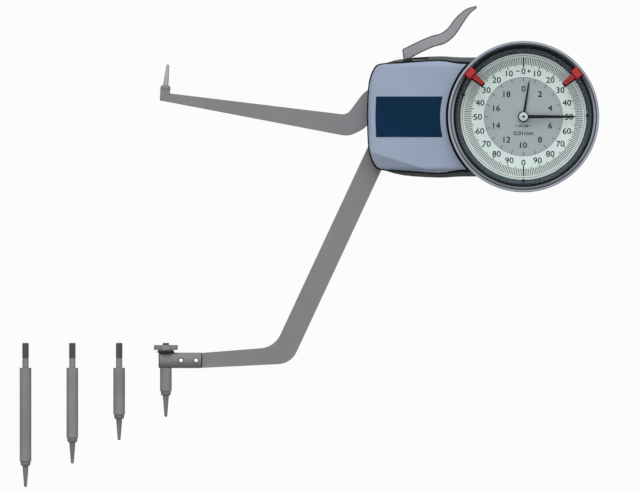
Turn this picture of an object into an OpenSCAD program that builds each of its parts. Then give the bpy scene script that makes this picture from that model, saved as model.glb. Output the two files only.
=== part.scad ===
// Inside dial caliper with a swinging upper arm, a fixed lower arm and screw-in anvils.
// It lies on its back: the dial axis is Z, X runs to the right and Y runs up the dial.

/* [Body] */
// Distance from the dial axis to the far end of the body
body_left = 66.3; // [64:0.1:72]
// Half height of the cover beside its rounded corners
cover_end_h = 22.2; // [21:0.1:25]
// Half height of the cover at its hump next to the dial
cover_hump_h = 23.8; // [23:0.1:26]
// Size of the rounded corners of the cover
body_corner = 6.3; // [4:0.1:9]
// How far the rear housing swells out past the cover
rear_bulge = 2.1; // [0.5:0.1:3]
// Height of the split between the rear housing and the gasket
split_z = 13; // [12.8:0.1:14]
// Thickness of the gasket between the housing and the cover
gasket_t = 0.6; // [0.4:0.1:1]
// Height of the front cover above the gasket
cover_h = 7; // [6.5:0.1:8]
// Wall thickness of the housing and the cover
wall = 2.2; // [1.8:0.1:2.6]
// Floor thickness of the rear housing
floor_t = 2; // [1.6:0.1:2.4]
// Length of the label plate
label_w = 28.2; // [20:0.1:30]
// Height of the label plate
label_h = 17.3; // [10:0.1:24]
// Thickness of the label plate
label_t = 0.2; // [0.1:0.05:0.4]

/* [Dial] */
// Outer radius of the bezel
bezel_r = 32.24; // [32:0.02:34]
// Step from the bezel's edge in to the round dial housing under it
case_step = 1.24; // [0.9:0.02:1.5]
// Step from the bezel's edge in to the seat that it turns on
seat_step = 2.04; // [1.9:0.02:2.3]
// Wall thickness of that seat
seat_wall = 2; // [1.5:0.1:2.4]
// Height of the dial face
dial_z = 22; // [21.8:0.1:23]
// Thickness of the dial and the scale ring
dial_t = 0.8; // [0.5:0.1:1]
// Radius of the fixed inner dial
inner_dial_r = 16.7; // [14:0.1:19]
// Height of the black ring between the dial and the crystal
ring_h = 3.3; // [3.2:0.1:4]
// Width of the black ring around the dial face
ring_w = 2.45; // [2:0.05:3]
// Thickness of the crystal
crystal_t = 1.5; // [1:0.1:2]
// Height of the bezel above the crystal, which its inner slope takes up
bezel_rise = 1.1; // [0.8:0.05:1.6]
// Distance from the main pointer's end to the black ring
pointer_gap = 3.2; // [2:0.1:8]
// Distance from the small pointer's end to the edge of the inner dial
small_pointer_gap = 0.5; // [0.2:0.1:5]
// Width of the main pointer at its hub
pointer_w = 1.6; // [0.6:0.1:1.8]
// Thickness of both pointers
pointer_t = 0.3; // [0.2:0.05:0.4]
// Angle of each tolerance marker from the top of the dial
marker_angle = 51; // [30:1:80]
// Width of a tolerance marker
marker_w = 4.7; // [3:0.1:6]
// Thickness of a marker's head
marker_t = 1.3; // [1:0.1:2]

/* [Arms] */
// Distance from the dial axis to the axis of the mounted anvil
jaw_x = 152.5; // [145:0.1:160]
// Height of the upper contact's end above the dial axis
upper_tip_y = 22.45; // [20:0.05:26]
// Distance between the two contacts with the arms at rest
jaw_gap = 150.5; // [146:0.1:156]
// Thickness of both arms
arm_t = 4; // [3:0.1:4.6]
// Height of the arms' middle plane above the back
arm_z = 8; // [7.8:0.1:8.4]
// Distance from the dial axis to the arm pivot
pivot_x = 57; // [56.5:0.1:57.4]
// Height of the arm pivot above the dial axis
pivot_y = 10; // [9.6:0.1:10.4]
// Radius of the pivot shaft
shaft_r = 2; // [1.6:0.1:2.2]
// Slope of the lower arm's strip from the upright
strip_angle = 25; // [24:0.1:26]
// Width of the lower arm's strip
strip_w = 9.4; // [8:0.1:10]
// Width of the lower arm's tail at the elbow
tail_w = 7.5; // [6.8:0.1:8.5]
// Radius of the elbow's inner fillet
elbow_r = 10; // [6:0.5:14]
// Width of the upper arm at its knee
knee_w = 8.7; // [7:0.1:10]
// Width of the upper arm at its end
end_w = 4.2; // [4:0.1:5]

/* [Anvils] */
// Radius of the anvil holder's round bar
holder_r = 3.32; // [3.2:0.02:4]
// Length of the anvil holder
holder_l = 18.5; // [17:0.1:24]
// Radius of the two cross holes in the holder
cross_hole_r = 0.8; // [0.6:0.05:1.2]
// Distance between the two cross holes
cross_pitch = 6.44; // [5:0.02:7]
// Radius of the threaded anvil shanks
shank_r = 1.5; // [1:0.05:1.6]
// Length of the anvil shanks
shank_l = 10.65; // [10.5:0.05:12]
// Radius of the anvil bodies
anvil_r = 2.5; // [2.2:0.05:3]
// Body length of the mounted anvil
anvil_l = 10; // [8:0.1:12]
// Body length added by each longer anvil
anvil_step = 10; // [5:0.5:15]
// Distance between the loose anvils on the table
spare_pitch = 20; // [12:0.1:24]
// Radius of the collar of each contact
collar_r = 2.13; // [1.8:0.01:2.2]
// Length of that collar
collar_l = 1.9; // [1.5:0.1:2.5]
// Radius of a contact's cone at its collar
cone_r = 1.3; // [1:0.05:1.6]
// Radius of a contact's rounded end
tip_r = 0.65; // [0.4:0.05:0.9]
// Length of a contact with its collar
contact_l = 10.95; // [9:0.05:12]
// Outer radius of the thumb nut
nut_r = 5.08; // [4.6:0.02:6]
// Thickness of the thumb nut
nut_t = 2.7; // [2:0.1:2.8]
// Thickness of the washer under the nut
washer_t = 0.65; // [0.4:0.05:0.7]

/* [Lever] */
// Distance from the dial axis to the lever pivot
lever_x = 49.2; // [48.8:0.1:49.6]
// Height of the lever pivot above the dial axis
lever_y = 23.4; // [23.2:0.1:23.8]
// Width of the lever across the finger
lever_w = 6; // [5:0.1:6.4]
// Thickness of the lever's curved blade
blade_t = 4.6; // [3.6:0.1:5]
// Radius of the lever pin
lever_pin_r = 1.2; // [1:0.05:1.3]

/* [Movement] */
// Module of the toothed sector, pinions and main wheel
gear_m = 0.28; // [0.278:0.001:0.284]
// Teeth of the small hand's wheels
small_n = 50; // [40:2:60]
// Thickness of the toothed wheels
wheel_t = 0.7; // [0.5:0.1:0.9]
// Thickness of the sector plate
sector_t = 1; // [0.6:0.1:1]
// Radius of the train and centre arbors
arbor_r = 0.8; // [0.6:0.05:0.9]
// Gap between the movement plates and the flange of the bezel's seat
plate_gap = 1.2; // [0.8:0.1:1.8]
// Thickness of the movement plates
plate_t = 1.4; // [1:0.1:1.5]
// Distance from the edge of the movement plates in to the pillars
pillar_inset = 2.6; // [2.4:0.1:3]
// Radius of the movement pillars
pillar_r = 1.8; // [1.5:0.1:2]

/* [Fits] */
// Radial clearance of turning and sliding fits
run_fit = 0.05; // [0.02:0.01:0.1]
// Radial clearance of pressed and screwed pieces
seat_fit = 0.03; // [0.01:0.01:0.05]
// Clearance around moving pieces that only pass each other
pass_gap = 0.4; // [0.3:0.05:0.5]
// Radius of the housing screws
screw_r = 1.25; // [1:0.05:1.4]
// Radius of the small screws
small_screw_r = 0.8; // [0.6:0.05:1]

/* [Hidden] */
$fn = 64;

// Colours of the real pieces
paint_blue = [0.59, 0.64, 0.73];
dark_grey = [0.20, 0.21, 0.23];
steel = [0.50, 0.50, 0.51];
light_steel = [0.62, 0.62, 0.63];
brass = [0.78, 0.65, 0.36];
black = [0.08, 0.08, 0.09];
dial_mint = [0.88, 0.93, 0.90];
dial_grey = [0.66, 0.70, 0.70];
signal_red = [0.78, 0.16, 0.15];
navy = [0.05, 0.16, 0.29];
clear_glass = [0.9, 0.95, 1, 0.25];

// Counts that the dial's scale fixes: two turns of the main pointer for each four millimetres
sector_n = 300;
pinion_n = 10;
wheel_n = 100;
// Angle that the upper arm swings through when the lever is pressed
swing = 12.4;
// Lean of the upper contact and of its end post
contact_lean = 6;
// How far the upper contact stands in from the anvil axis
contact_inset = 0.9;
// Small margin that carries a cut clear past a face
eps = 0.01;

// Heights from the back upwards
arm_lo = arm_z - arm_t / 2;
arm_hi = arm_z + arm_t / 2;
cover_lo = split_z + gasket_t;
cover_hi = cover_lo + cover_h;
ceiling_z = cover_hi - floor_t;
shelf_h = 2.8;
shelf_z = cover_lo + shelf_h;
bezel_lo = shelf_z + pass_gap;
seat_hi = dial_z - dial_t - 0.6;
sector_hi = arm_hi + sector_t;
tooth_side = 0.3;
wheel_gap = 1.3;
pinion_lo = arm_hi - tooth_side;
pinion_hi = sector_hi + tooth_side;
wheel_lo = pinion_hi + 0.7;
wheel_hi = wheel_lo + wheel_t;
transfer_lo = wheel_hi + wheel_gap;
transfer_hi = transfer_lo + wheel_t;
base_lo = floor_t + 2.5;
base_hi = base_lo + plate_t;
top_lo = transfer_hi + wheel_gap;
top_hi = top_lo + plate_t;
small_hand_z = dial_z + 0.8;
main_hand_z = small_hand_z + 1;
crystal_lo = dial_z + ring_h;
crystal_hi = crystal_lo + crystal_t;
bezel_hi = crystal_hi + bezel_rise;

// Radii of the dial from the bezel inwards
glass_step = 0.85;
case_wall = 2.5;
flange_w = 6.4;
case_screw_inset = 4.6;
bezel_gap = 0.76;
case_r = bezel_r - case_step;
seat_r = bezel_r - seat_step;
glass_r = seat_r - glass_step;
dial_open_r = glass_r - ring_w;
pointer_l = dial_open_r - pointer_gap;
small_pointer_l = inner_dial_r - small_pointer_gap;
case_inner_r = case_r - case_wall;
flange_r = seat_r - flange_w;
case_screw_d = seat_r - case_screw_inset;
plate_r = flange_r - plate_gap;
pillar_pcd_r = plate_r - pillar_inset;
cover_gap_r = bezel_r + bezel_gap;

// Pivots and meshing points in the plan view
pivot = [-pivot_x, pivot_y];
sector_pr = gear_m * sector_n / 2;
pinion_pr = gear_m * pinion_n / 2;
train_d = gear_m * (wheel_n + pinion_n) / 2;
mesh_d = sector_pr + pinion_pr;
pivot_d = norm(pivot);
train_a = atan2(pivot_y, -pivot_x)
    - acos((pivot_d * pivot_d + train_d * train_d - mesh_d * mesh_d) / (2 * pivot_d * train_d));
train = polar(train_d, train_a);
mesh_a = atan2(train.y - pivot.y, train.x - pivot.x);
small_m = train_d / small_n;
transfer_tip_r = small_m * (small_n / 2 + 1);

// Lever, its finger and the tail of the upper arm that the finger pushes
lever = [-lever_x, lever_y];
finger_l = 6.1;
finger_r = 1.3;
lever_hub_r = lever_pin_r + 1;
lever_lo = arm_z - lever_w / 2;
lever_hi = arm_z + lever_w / 2;
lever_boss_hi = lever_lo - 0.1;
finger = lever + [0, -finger_l];
tail_face_x = finger.x - finger_r - pass_gap;
tail_top_y = finger.y + 2;
tail_l = 3;

// Root of the upper arm
hub_r = 5.5;
tab_a = mesh_a - swing / 2;
tab_l = 13.5;
tab_w = 8;
tab_screws = [8.2, 11.4];
spring_y = tail_top_y - 2.8;
spring_pin_at = [tail_face_x - 2.2, spring_y];
spring_pin_r = 0.8;
spring_post_r = 1.2;
post_seat = 1;
post_gap = 2.84;
post_d = cover_gap_r + wall + spring_post_r + post_gap;
spring_post_at = [-sqrt(post_d * post_d - spring_y * spring_y), spring_y];
spring_z = sector_hi + 2.2;
spring_pin_reach = 1.2;
coil_r = 1.5;
wire_r = 0.3;
coil_turns = 12;
stop_pin_r = 1;
stop_at = pivot + turned([tab_l - 2.5, -tab_w / 2 - stop_pin_r - run_fit], tab_a);

// Upper contact and knee of the upper arm
contact_end = [contact_inset - jaw_x, upper_tip_y];
contact_dir = [sin(contact_lean), cos(contact_lean)];
contact_base = contact_end - contact_l * contact_dir;
knee = pivot + [-18.2, -9.1];
stud_r = 1;
stud_l = 3;

// Lower arm, its holder and the anvils
strip_dir = [-sin(strip_angle), -cos(strip_angle)];
strip_across = [cos(strip_angle), -sin(strip_angle)];
strip_start = [-body_left - 1.1, -15.2];
seat_depth = 0.12;
tail_rise = 2.3;
shoulder_y = upper_tip_y - jaw_gap + contact_l + anvil_l;
holder_y = shoulder_y + holder_r - seat_depth;
holder_left = -jaw_x - 3.1;
holder_right = holder_left + holder_l;
holder_seat_y = holder_y + holder_r - seat_depth;
cross_inset = 2.5;
elbow_in_y = holder_y + holder_r + tail_rise;
elbow_in = [strip_start.x + (elbow_in_y - strip_start.y) * tan(strip_angle), elbow_in_y];
tail_top = [holder_right, holder_y + holder_r - seat_depth];
tail_bottom = [holder_right, holder_y - holder_r + seat_depth];
tail_dir = unit(tail_top - elbow_in);
tail_across = [-tail_dir.y, tail_dir.x];
strip_right = strip_start + strip_w * strip_across;
elbow_out = strip_right
    + strip_dir * (tail_w - (strip_right - elbow_in) * tail_across) / (strip_dir * tail_across);
root_top_y = -12;
root_bottom_y = -20;
root_right_x = -44;
root_screws = [[-57, -16], [-48, -16]];
washer_r = 3.7;
spare_z = anvil_r;

// Places of the screws that close the housing
screw_head_r = screw_r + 1;
boss_r = screw_r + 1.3;
screw_y = cover_end_h - 2.2;
screw_x = -sqrt(pow(cover_gap_r + boss_r + 0.51, 2) - screw_y * screw_y);
housing_screw_at = [[6 - body_left, screw_y - 1.4], [screw_x, screw_y], [screw_x, -screw_y]];
case_screw_a = [45, -45];
flange_t = 1.4;
pillar_a = [75, 5, -65, -130];
bush_r = arbor_r + 1.2;
tube_r = arbor_r + 0.7;
centre_bush_r = tube_r + 1.5;
pivot_bush_r = shaft_r + 1;
pivot_boss_r = pivot_bush_r + 1.4;
bush_flange_t = 0.5;

// Bezel
bezel_bore_r = seat_r + run_fit;
slope_w = 1.4;
groove_w = 0.5;
groove_deep = 0.6;
groove_r = [glass_r + slope_w, glass_r + slope_w + groove_w];
groove_z = bezel_hi - groove_deep;
clip_z = bezel_lo + 2.2;
clip_wire_r = 0.4;

// Direction, rotation and curve helpers
function polar(r, a) = [r * cos(a), r * sin(a)];
function unit(v) = v / norm(v);
function turned(v, a) = [v.x * cos(a) - v.y * sin(a), v.x * sin(a) + v.y * cos(a)];
function cross2(a, b) = a.x * b.y - a.y * b.x;
function reversed(p) = [for (i = [len(p) - 1:-1:0]) p[i]];
function mirrored(p) = [for (i = [len(p) - 1:-1:0]) [p[i].x, -p[i].y]];

// Corner b of the path a, b, c rounded to radius r
function fillet(a, b, c, r, steps = 8) =
    let (u = unit(a - b), v = unit(c - b), half = acos(u * v) / 2)
    let (middle = b + unit(u + v) * r / sin(half), from = b + u * r / tan(half) - middle)
    let (to = b + v * r / tan(half) - middle, sweep = atan2(cross2(from, to), from * to))
    [for (i = [0:steps]) middle + turned(from, sweep * i / steps)];

// Smooth curve through the points p, with steps points on each span
function curve(p, steps = 3) = concat([for (i = [0:len(p) - 2], k = [0:steps - 1])
    span(p[max(i - 1, 0)], p[i], p[i + 1], p[min(i + 2, len(p) - 1)], k / steps)], [p[len(p) - 1]]);
function span(a, b, c, d, t) =
    b + 0.5 * t * ((c - a) + t * ((2 * a - 5 * b + 4 * c - d) + t * (3 * b - 3 * c + d - a)));

// Outline of a ribbon along points [x, y, half thickness]
function ribbon(p) = concat(
    [for (i = [0:len(p) - 1]) ribbon_side(p, i, 1)],
    [for (i = [len(p) - 1:-1:0]) ribbon_side(p, i, -1)]);
function ribbon_side(p, i, side) =
    let (a = p[max(i - 1, 0)], b = p[min(i + 1, len(p) - 1)], d = unit([b.x - a.x, b.y - a.y]))
    [p[i].x - side * d.y * p[i].z, p[i].y + side * d.x * p[i].z];

// Outline of a toothed rim, from tooth number first to tooth number last
tooth_root = 0.27;
tooth_tip = 0.1;
tooth_add = 0.5;
tooth_ded = 0.75;
function teeth(m, n, phase, first, last) =
    [for (i = [first:last], k = [-tooth_root, -tooth_tip, tooth_tip, tooth_root])
        polar(m * n / 2 + m * (abs(k) > tooth_tip ? -tooth_ded : tooth_add), phase + (i + k) * 360 / n)];

// Half outline of the body from its far end to the dial: swell is the housing's bulge, grow an inset
function body_half(swell, grow) =
    let (left = -body_left - grow, end_h = cover_end_h + grow, out = rear_bulge * swell + grow)
    curve([
        [left, 0], [left + 0.5, end_h / 2], [left + 0.2 * body_corner, end_h - body_corner],
        [left + 0.46 * body_corner, end_h - 0.36 * body_corner], [left + 0.9 * body_corner, end_h],
        [-0.77 * body_left, cover_end_h + 0.6 + out], [-0.543 * body_left, cover_hump_h + out],
        [-0.407 * body_left, cover_end_h + 0.3 + 1.4 * out],
        [-0.226 * body_left, cover_end_h + 0.3 + 1.4 * out]]);
function body_outline(swell, grow) =
    let (top = body_half(swell, grow)) concat(mirrored(top), [for (i = [1:len(top) - 1]) top[i]]);

// Body outline raised between two heights
module body_block(swell, grow, lo, hi) {
    translate([0, 0, lo]) linear_extrude(hi - lo) polygon(body_outline(swell, grow));
}

// Body whose edges follow steps of [height, inset], across it and at its far end
module shaped_body(swell, steps) {
    lo = steps[0][0];
    hi = steps[len(steps) - 1][0];
    half_w = cover_hump_h + rear_bulge * swell;
    side = [for (s = steps) [half_w - s[1], s[0]]];
    end = [for (s = steps) [s[1] - body_left, s[0]]];
    intersection() {
        body_block(swell, 0, lo, hi);
        translate([-body_left - 1, 0, 0]) rotate([90, 0, 90]) linear_extrude(body_left)
            polygon(concat(side, [for (p = reversed(side)) [-p.x, p.y]]));
        rotate([90, 0, 0]) linear_extrude(4 * half_w, center = true)
            polygon(concat(end, [[0, hi], [0, lo]]));
    }
}

// Bar, hole or screw between two heights
module rod(at, r, lo, hi) {
    translate([at.x, at.y, lo]) cylinder(r = r, h = hi - lo);
}
module tube(at, r, bore, lo, hi) {
    difference() {
        rod(at, r, lo, hi);
        rod(at, bore, lo - 1, hi + 1);
    }
}

// Rear housing: slot_lo and slot_hi bound the upper arm's path through the end wall
housing_full_z = 3;
housing_turn_z = 8.5;
slot_lo = pivot_y - 20.8;
slot_hi = pivot_y + 3.7;
notch_lo = -lever_x - 5.3;
notch_hi = -lever_x + 8.7;
shelf_left = root_screws[0].x - 4;
lever_boss_r = lever_pin_r + 0.6;
pivot_boss_hi = arm_lo - run_fit - bush_flange_t;
pillar_stud_r = 1;
pillar_stud_seat = 0.6;
pillar_stud_lo = floor_t - pillar_stud_seat;
module housing_shell() {
    difference() {
        union() {
            shaped_body(1, [[0, 2.4], [1, 1], [housing_full_z, 0], [housing_turn_z, 0],
                [split_z - 1.5, 0.6 * rear_bulge], [split_z, 0.95 * rear_bulge]]);
            rotate_extrude() polygon([[0, 0], [case_r - 2, 0], [case_r, 2], [case_r, split_z], [0, split_z]]);
        }
        body_block(0, 0.6 - wall, floor_t, split_z + 1);
        rod([0, 0], case_inner_r, floor_t, split_z + 1);
        translate([notch_lo, finger.y, lever_lo - pass_gap])
            cube([notch_hi - notch_lo, cover_hump_h, lever_w + 2 * pass_gap]);
        rod(lever, lever_pin_r + pin_head_w + pass_gap, lever_hi, split_z + 1);
    }
}
module rear_housing() {
    color(dark_grey) difference() {
        union() {
            housing_shell();
            rod(pivot, pivot_boss_r, floor_t - eps, pivot_boss_hi);
            rod(lever, lever_boss_r, housing_full_z, lever_boss_hi);
            for (at = housing_screw_at) rod(at, boss_r, floor_t - eps, split_z);
            for (a = case_screw_a) rod(polar(case_screw_d, a), boss_r, floor_t - eps, cover_lo);
            for (a = pillar_a) rod(polar(pillar_pcd_r, a), pillar_r + 0.8, floor_t - eps, base_lo);
            translate([shelf_left, root_bottom_y, floor_t - eps])
                cube([root_right_x - shelf_left, root_top_y - root_bottom_y, arm_lo - floor_t + eps]);
        }
        translate([-body_left - wall, slot_lo, arm_lo - pass_gap])
            cube([3 * wall, slot_hi - slot_lo, arm_t + 2 * pass_gap]);
        translate([0, 0, arm_lo]) linear_extrude(arm_t + seat_fit) strip_slot();
        rod(pivot, pivot_bush_r + seat_fit, floor_t, split_z);
        rod(lever, lever_pin_r + seat_fit, 1, split_z);
        for (at = housing_screw_at) {
            rod(at, screw_head_r + 0.2, -1, screw_head_t + 0.2);
            rod(at, screw_r + 0.1, -1, split_z + 1);
        }
        for (a = case_screw_a) rod(polar(case_screw_d, a), screw_r + seat_fit, floor_t, cover_lo + 1);
        for (a = pillar_a) rod(polar(pillar_pcd_r, a), pillar_stud_r + seat_fit, pillar_stud_lo, split_z);
        for (at = root_screws) rod(at, screw_r + seat_fit, floor_t, split_z);
    }
}
module strip_slot() {
    near = strip_start - 0.1 * strip_across;
    far = strip_right + 0.1 * strip_across;
    reach = 1.7 * strip_w * strip_dir;
    polygon([near - 0.3 * reach, near + reach, far + reach, far - 0.3 * reach]);
}

// Front cover, with a gap around the bezel
front_boss_lo = sector_hi + 0.1 + bush_flange_t;
module front_cover() {
    color(paint_blue) difference() {
        union() {
            difference() {
                union() {
                    shaped_body(0, [[cover_lo, 0], [cover_lo + 0.6 * cover_h, 0], [cover_hi - 1.2, 0.5],
                        [cover_hi - 0.4, 1.3], [cover_hi, 2.6]]);
                    rod([0, 0], case_r, cover_lo, shelf_z);
                }
                difference() {
                    body_block(0, -wall, cover_lo - 1, ceiling_z);
                    rod([0, 0], cover_gap_r + wall, cover_lo - 1, cover_hi);
                }
            }
            for (at = housing_screw_at) rod(at, boss_r, cover_lo, ceiling_z + eps);
            rod(pivot, pivot_boss_r, front_boss_lo, ceiling_z + eps);
        }
        rod([0, 0], cover_gap_r, shelf_z, cover_hi + 1);
        rod([0, 0], seat_r + seat_fit, cover_lo - 1, cover_hi);
        for (at = housing_screw_at) rod(at, screw_r + seat_fit, cover_lo - 1, screw_hi + 0.3);
        rod(pivot, pivot_bush_r + seat_fit, front_boss_lo - 1, front_bush_hi);
        rod(spring_post_at, spring_post_r + seat_fit, ceiling_z - 1, ceiling_z + post_seat);
    }
}
gasket_swell = 0.07;
gasket_show = 0.5;
module cover_gasket() {
    color(black) difference() {
        union() {
            body_block(gasket_swell, gasket_show, split_z, cover_lo);
            rod([0, 0], case_r, split_z, cover_lo);
        }
        body_block(0, 0.5 - wall, split_z - 1, cover_lo + 1);
        rod([0, 0], case_inner_r + 0.1, split_z - 1, cover_lo + 1);
        for (at = housing_screw_at) rod(at, screw_r + 0.2, split_z - 1, cover_lo + 1);
    }
}
label_left = -body_left + 3.5;
module label_plate() {
    color(navy) translate([0, 0, cover_hi]) linear_extrude(label_t) difference() {
        polygon(concat(
            curve([[label_left, label_h / 2], [label_left - 0.3, 0], [label_left, -label_h / 2]]),
            [[label_left + label_w, -label_h / 2], [label_left + label_w, label_h / 2]]));
        circle(cover_gap_r + 2.5);
    }
}

// Screws that close the housing from the back
screw_head_t = 1.2;
screw_hi = ceiling_z - 1.5;
module housing_screws() {
    color(steel) for (at = housing_screw_at) {
        rod(at, screw_r, 0.2, screw_hi);
        rod(at, screw_head_r, 0.2, screw_head_t + 0.2);
    }
}

// Seat of the bezel with its flange, screws and clip wire
clip_depth = 0.55;
clip_half = clip_wire_r + 0.05;
wheel_clear = 0.3;
module dial_case() {
    color(dark_grey) difference() {
        rotate_extrude() polygon([
            [flange_r, cover_lo], [seat_r, cover_lo], [seat_r, clip_z - clip_half],
            [seat_r - clip_depth, clip_z - clip_half], [seat_r - clip_depth, clip_z + clip_half],
            [seat_r, clip_z + clip_half], [seat_r, seat_hi], [seat_r - seat_wall, seat_hi],
            [seat_r - seat_wall, cover_lo + flange_t], [flange_r, cover_lo + flange_t]]);
        for (a = case_screw_a)
            rod(polar(case_screw_d, a), screw_r + 0.1, cover_lo - 1, cover_lo + flange_t + 1);
        rod(train, transfer_tip_r + wheel_clear, transfer_lo - wheel_clear, transfer_hi + wheel_clear);
    }
}
case_screw_lift = 1;
module case_screws() {
    color(steel) for (a = case_screw_a) {
        rod(polar(case_screw_d, a), screw_r, floor_t + case_screw_lift, cover_lo + flange_t);
        rod(polar(case_screw_d, a), screw_head_r, cover_lo + flange_t, cover_lo + flange_t + screw_head_t);
    }
}
module bezel_spring() {
    color(steel) translate([0, 0, clip_z]) rotate_extrude(angle = 330)
        translate([seat_r - clip_depth + clip_wire_r + seat_fit, 0]) circle(clip_wire_r);
}

// Fixed inner dial on three feet
dial_foot_r = 1.2;
dial_foot_d = 13;
module inner_dial() {
    color(dial_grey) {
        tube([0, 0], inner_dial_r, tube_r + 0.5, dial_z - dial_t, dial_z);
        for (a = [90, 210, 330]) rod(polar(dial_foot_d, a), dial_foot_r, top_hi, dial_z - dial_t);
    }
}

// Movement frame: two plates on four pillars
module base_plate() {
    color(brass) difference() {
        rod([0, 0], plate_r, base_lo, base_hi);
        rod([0, 0], bush_r + seat_fit, base_lo - 1, base_hi + 1);
        rod(train, bush_r + seat_fit, base_lo - 1, base_hi + 1);
        rod(stud_at, hair_stud_r + seat_fit, base_lo - 1, base_hi + 1);
        for (a = pillar_a) rod(polar(pillar_pcd_r, a), pillar_stud_r + seat_fit, base_lo - 1, base_hi + 1);
    }
}
module top_plate() {
    color(brass) difference() {
        rod([0, 0], plate_r, top_lo, top_hi);
        rod([0, 0], centre_bush_r + seat_fit, top_lo - 1, top_hi + 1);
        rod(train, bush_r + seat_fit, top_lo - 1, top_hi + 1);
        for (a = pillar_a) rod(polar(pillar_pcd_r, a), small_screw_r + 0.1, top_lo - 1, top_hi + 1);
    }
}
bridge_screw_l = 2.2;
bridge_head_t = 0.9;
bridge_end_gap = 0.3;
module movement_pillars() {
    color(brass) for (a = pillar_a) difference() {
        union() {
            rod(polar(pillar_pcd_r, a), pillar_r, base_hi, top_lo);
            rod(polar(pillar_pcd_r, a), pillar_stud_r, pillar_stud_lo, base_hi + eps);
        }
        rod(polar(pillar_pcd_r, a), small_screw_r + seat_fit,
            top_lo - bridge_screw_l - bridge_end_gap, top_lo + 1);
    }
}
module bridge_screws() {
    color(steel) for (a = pillar_a) {
        rod(polar(pillar_pcd_r, a), small_screw_r, top_lo - bridge_screw_l, top_hi);
        rod(polar(pillar_pcd_r, a), 2 * small_screw_r, top_hi, top_hi + bridge_head_t);
    }
}
module movement_bushes() {
    color(brass) {
        tube([0, 0], bush_r, arbor_r + run_fit, base_lo, base_hi);
        tube(train, bush_r, arbor_r + run_fit, base_lo, base_hi);
        tube(train, bush_r, arbor_r + run_fit, top_lo, top_hi);
        tube([0, 0], centre_bush_r, tube_r + run_fit, top_lo, top_hi);
    }
}

// Flat hairspring that takes up the play of the train
hair_lo = base_hi + 1;
hair_h = 1;
hair_t = 0.16;
hair_turns = 4;
collet_r = arbor_r + 0.8;
hair_out_r = collet_r + 4;
hair_stud_r = 0.7;
hair_end_a = 270;
stud_at = train + polar(hair_out_r + hair_t / 2 + hair_stud_r + seat_fit, hair_end_a);
function hair_side(side, count) = [for (i = [0:count])
    polar(collet_r + hair_t / 2 + seat_fit + (hair_out_r - collet_r - hair_t / 2 - seat_fit) * i / count
        + side * hair_t / 2, hair_end_a - 360 * hair_turns * (1 - i / count))];
module hairspring() {
    outer = hair_side(1, 24 * hair_turns);
    inner = hair_side(-1, 24 * hair_turns);
    color(steel) translate([train.x, train.y, hair_lo]) linear_extrude(hair_h)
        polygon(concat(outer, [for (i = [len(inner) - 1:-1:0]) inner[i]]));
}
module hairspring_stud() {
    color(brass) rod(stud_at, hair_stud_r, base_lo, hair_lo + hair_h + 0.2);
}
module hairspring_collet() {
    color(brass) tube(train, collet_r, arbor_r + seat_fit, hair_lo - 0.2, hair_lo + hair_h + 0.2);
}

// Bushes and shaft of the arm pivot
front_bush_hi = front_boss_lo + 3.4;
module pivot_bush_rear() {
    color(brass) {
        tube(pivot, pivot_bush_r, shaft_r + run_fit, floor_t, pivot_boss_hi + eps);
        tube(pivot, pivot_bush_r + 1, shaft_r + run_fit, pivot_boss_hi, pivot_boss_hi + bush_flange_t);
    }
}
module pivot_bush_front() {
    color(brass) {
        tube(pivot, pivot_bush_r + 1, shaft_r + run_fit, front_boss_lo - bush_flange_t, front_boss_lo);
        tube(pivot, pivot_bush_r, shaft_r + run_fit, front_boss_lo - eps, front_bush_hi);
    }
}
module pivot_shaft() {
    color(steel) rod(pivot, shaft_r, floor_t + 0.1, front_bush_hi - 0.1);
}

// Lower arm in one flat piece: root plate, strip, elbow and tail
root_left = [strip_start.x + (root_top_y - strip_start.y) * tan(strip_angle), root_top_y];
root_corner = [strip_right.x + (root_bottom_y - strip_right.y) * tan(strip_angle), root_bottom_y];
module fixed_arm() {
    color(steel) difference() {
        translate([0, 0, arm_lo]) linear_extrude(arm_t) polygon(concat(
            [root_left], fillet(root_left, elbow_in, tail_top, elbow_r), [tail_top, tail_bottom],
            fillet(tail_bottom, elbow_out, root_corner, elbow_r - 1), [root_corner],
            [[root_right_x, root_bottom_y], [root_right_x, root_top_y]]));
        for (at = root_screws) rod(at, screw_r + 0.1, arm_lo - 1, arm_hi + 1);
    }
}
module fixed_arm_screws() {
    color(light_steel) for (at = root_screws) {
        rod(at, screw_r, floor_t + 0.5, arm_hi);
        rod(at, screw_head_r, arm_hi, arm_hi + screw_head_t);
    }
}

// Places a piece that is turned about Z, so that Z points up the dial
module upright(x, y, z) {
    translate([x, y, z]) rotate([-90, 0, 0]) children();
}
module anvil_holder() {
    color(steel) difference() {
        translate([holder_left, holder_y, arm_z]) rotate([0, 90, 0]) cylinder(r = holder_r, h = holder_l);
        upright(-jaw_x, shoulder_y - 1, arm_z) cylinder(r = shank_r + run_fit, h = 2 * holder_r + 2);
        upright(-jaw_x, holder_seat_y, arm_z) cylinder(r = washer_r + 0.3, h = 2);
        upright(-jaw_x, shoulder_y - 2, arm_z) cylinder(r = anvil_r + 0.3, h = 2);
        for (i = [0, 1])
            rod([holder_right - cross_inset - i * cross_pitch, holder_y], cross_hole_r,
                arm_z - holder_r - 1, arm_z + holder_r + 1);
    }
}
module nut_washer() {
    color(light_steel) upright(-jaw_x, holder_seat_y, arm_z)
        tube([0, 0], washer_r, shank_r + run_fit, 0, washer_t);
}
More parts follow.
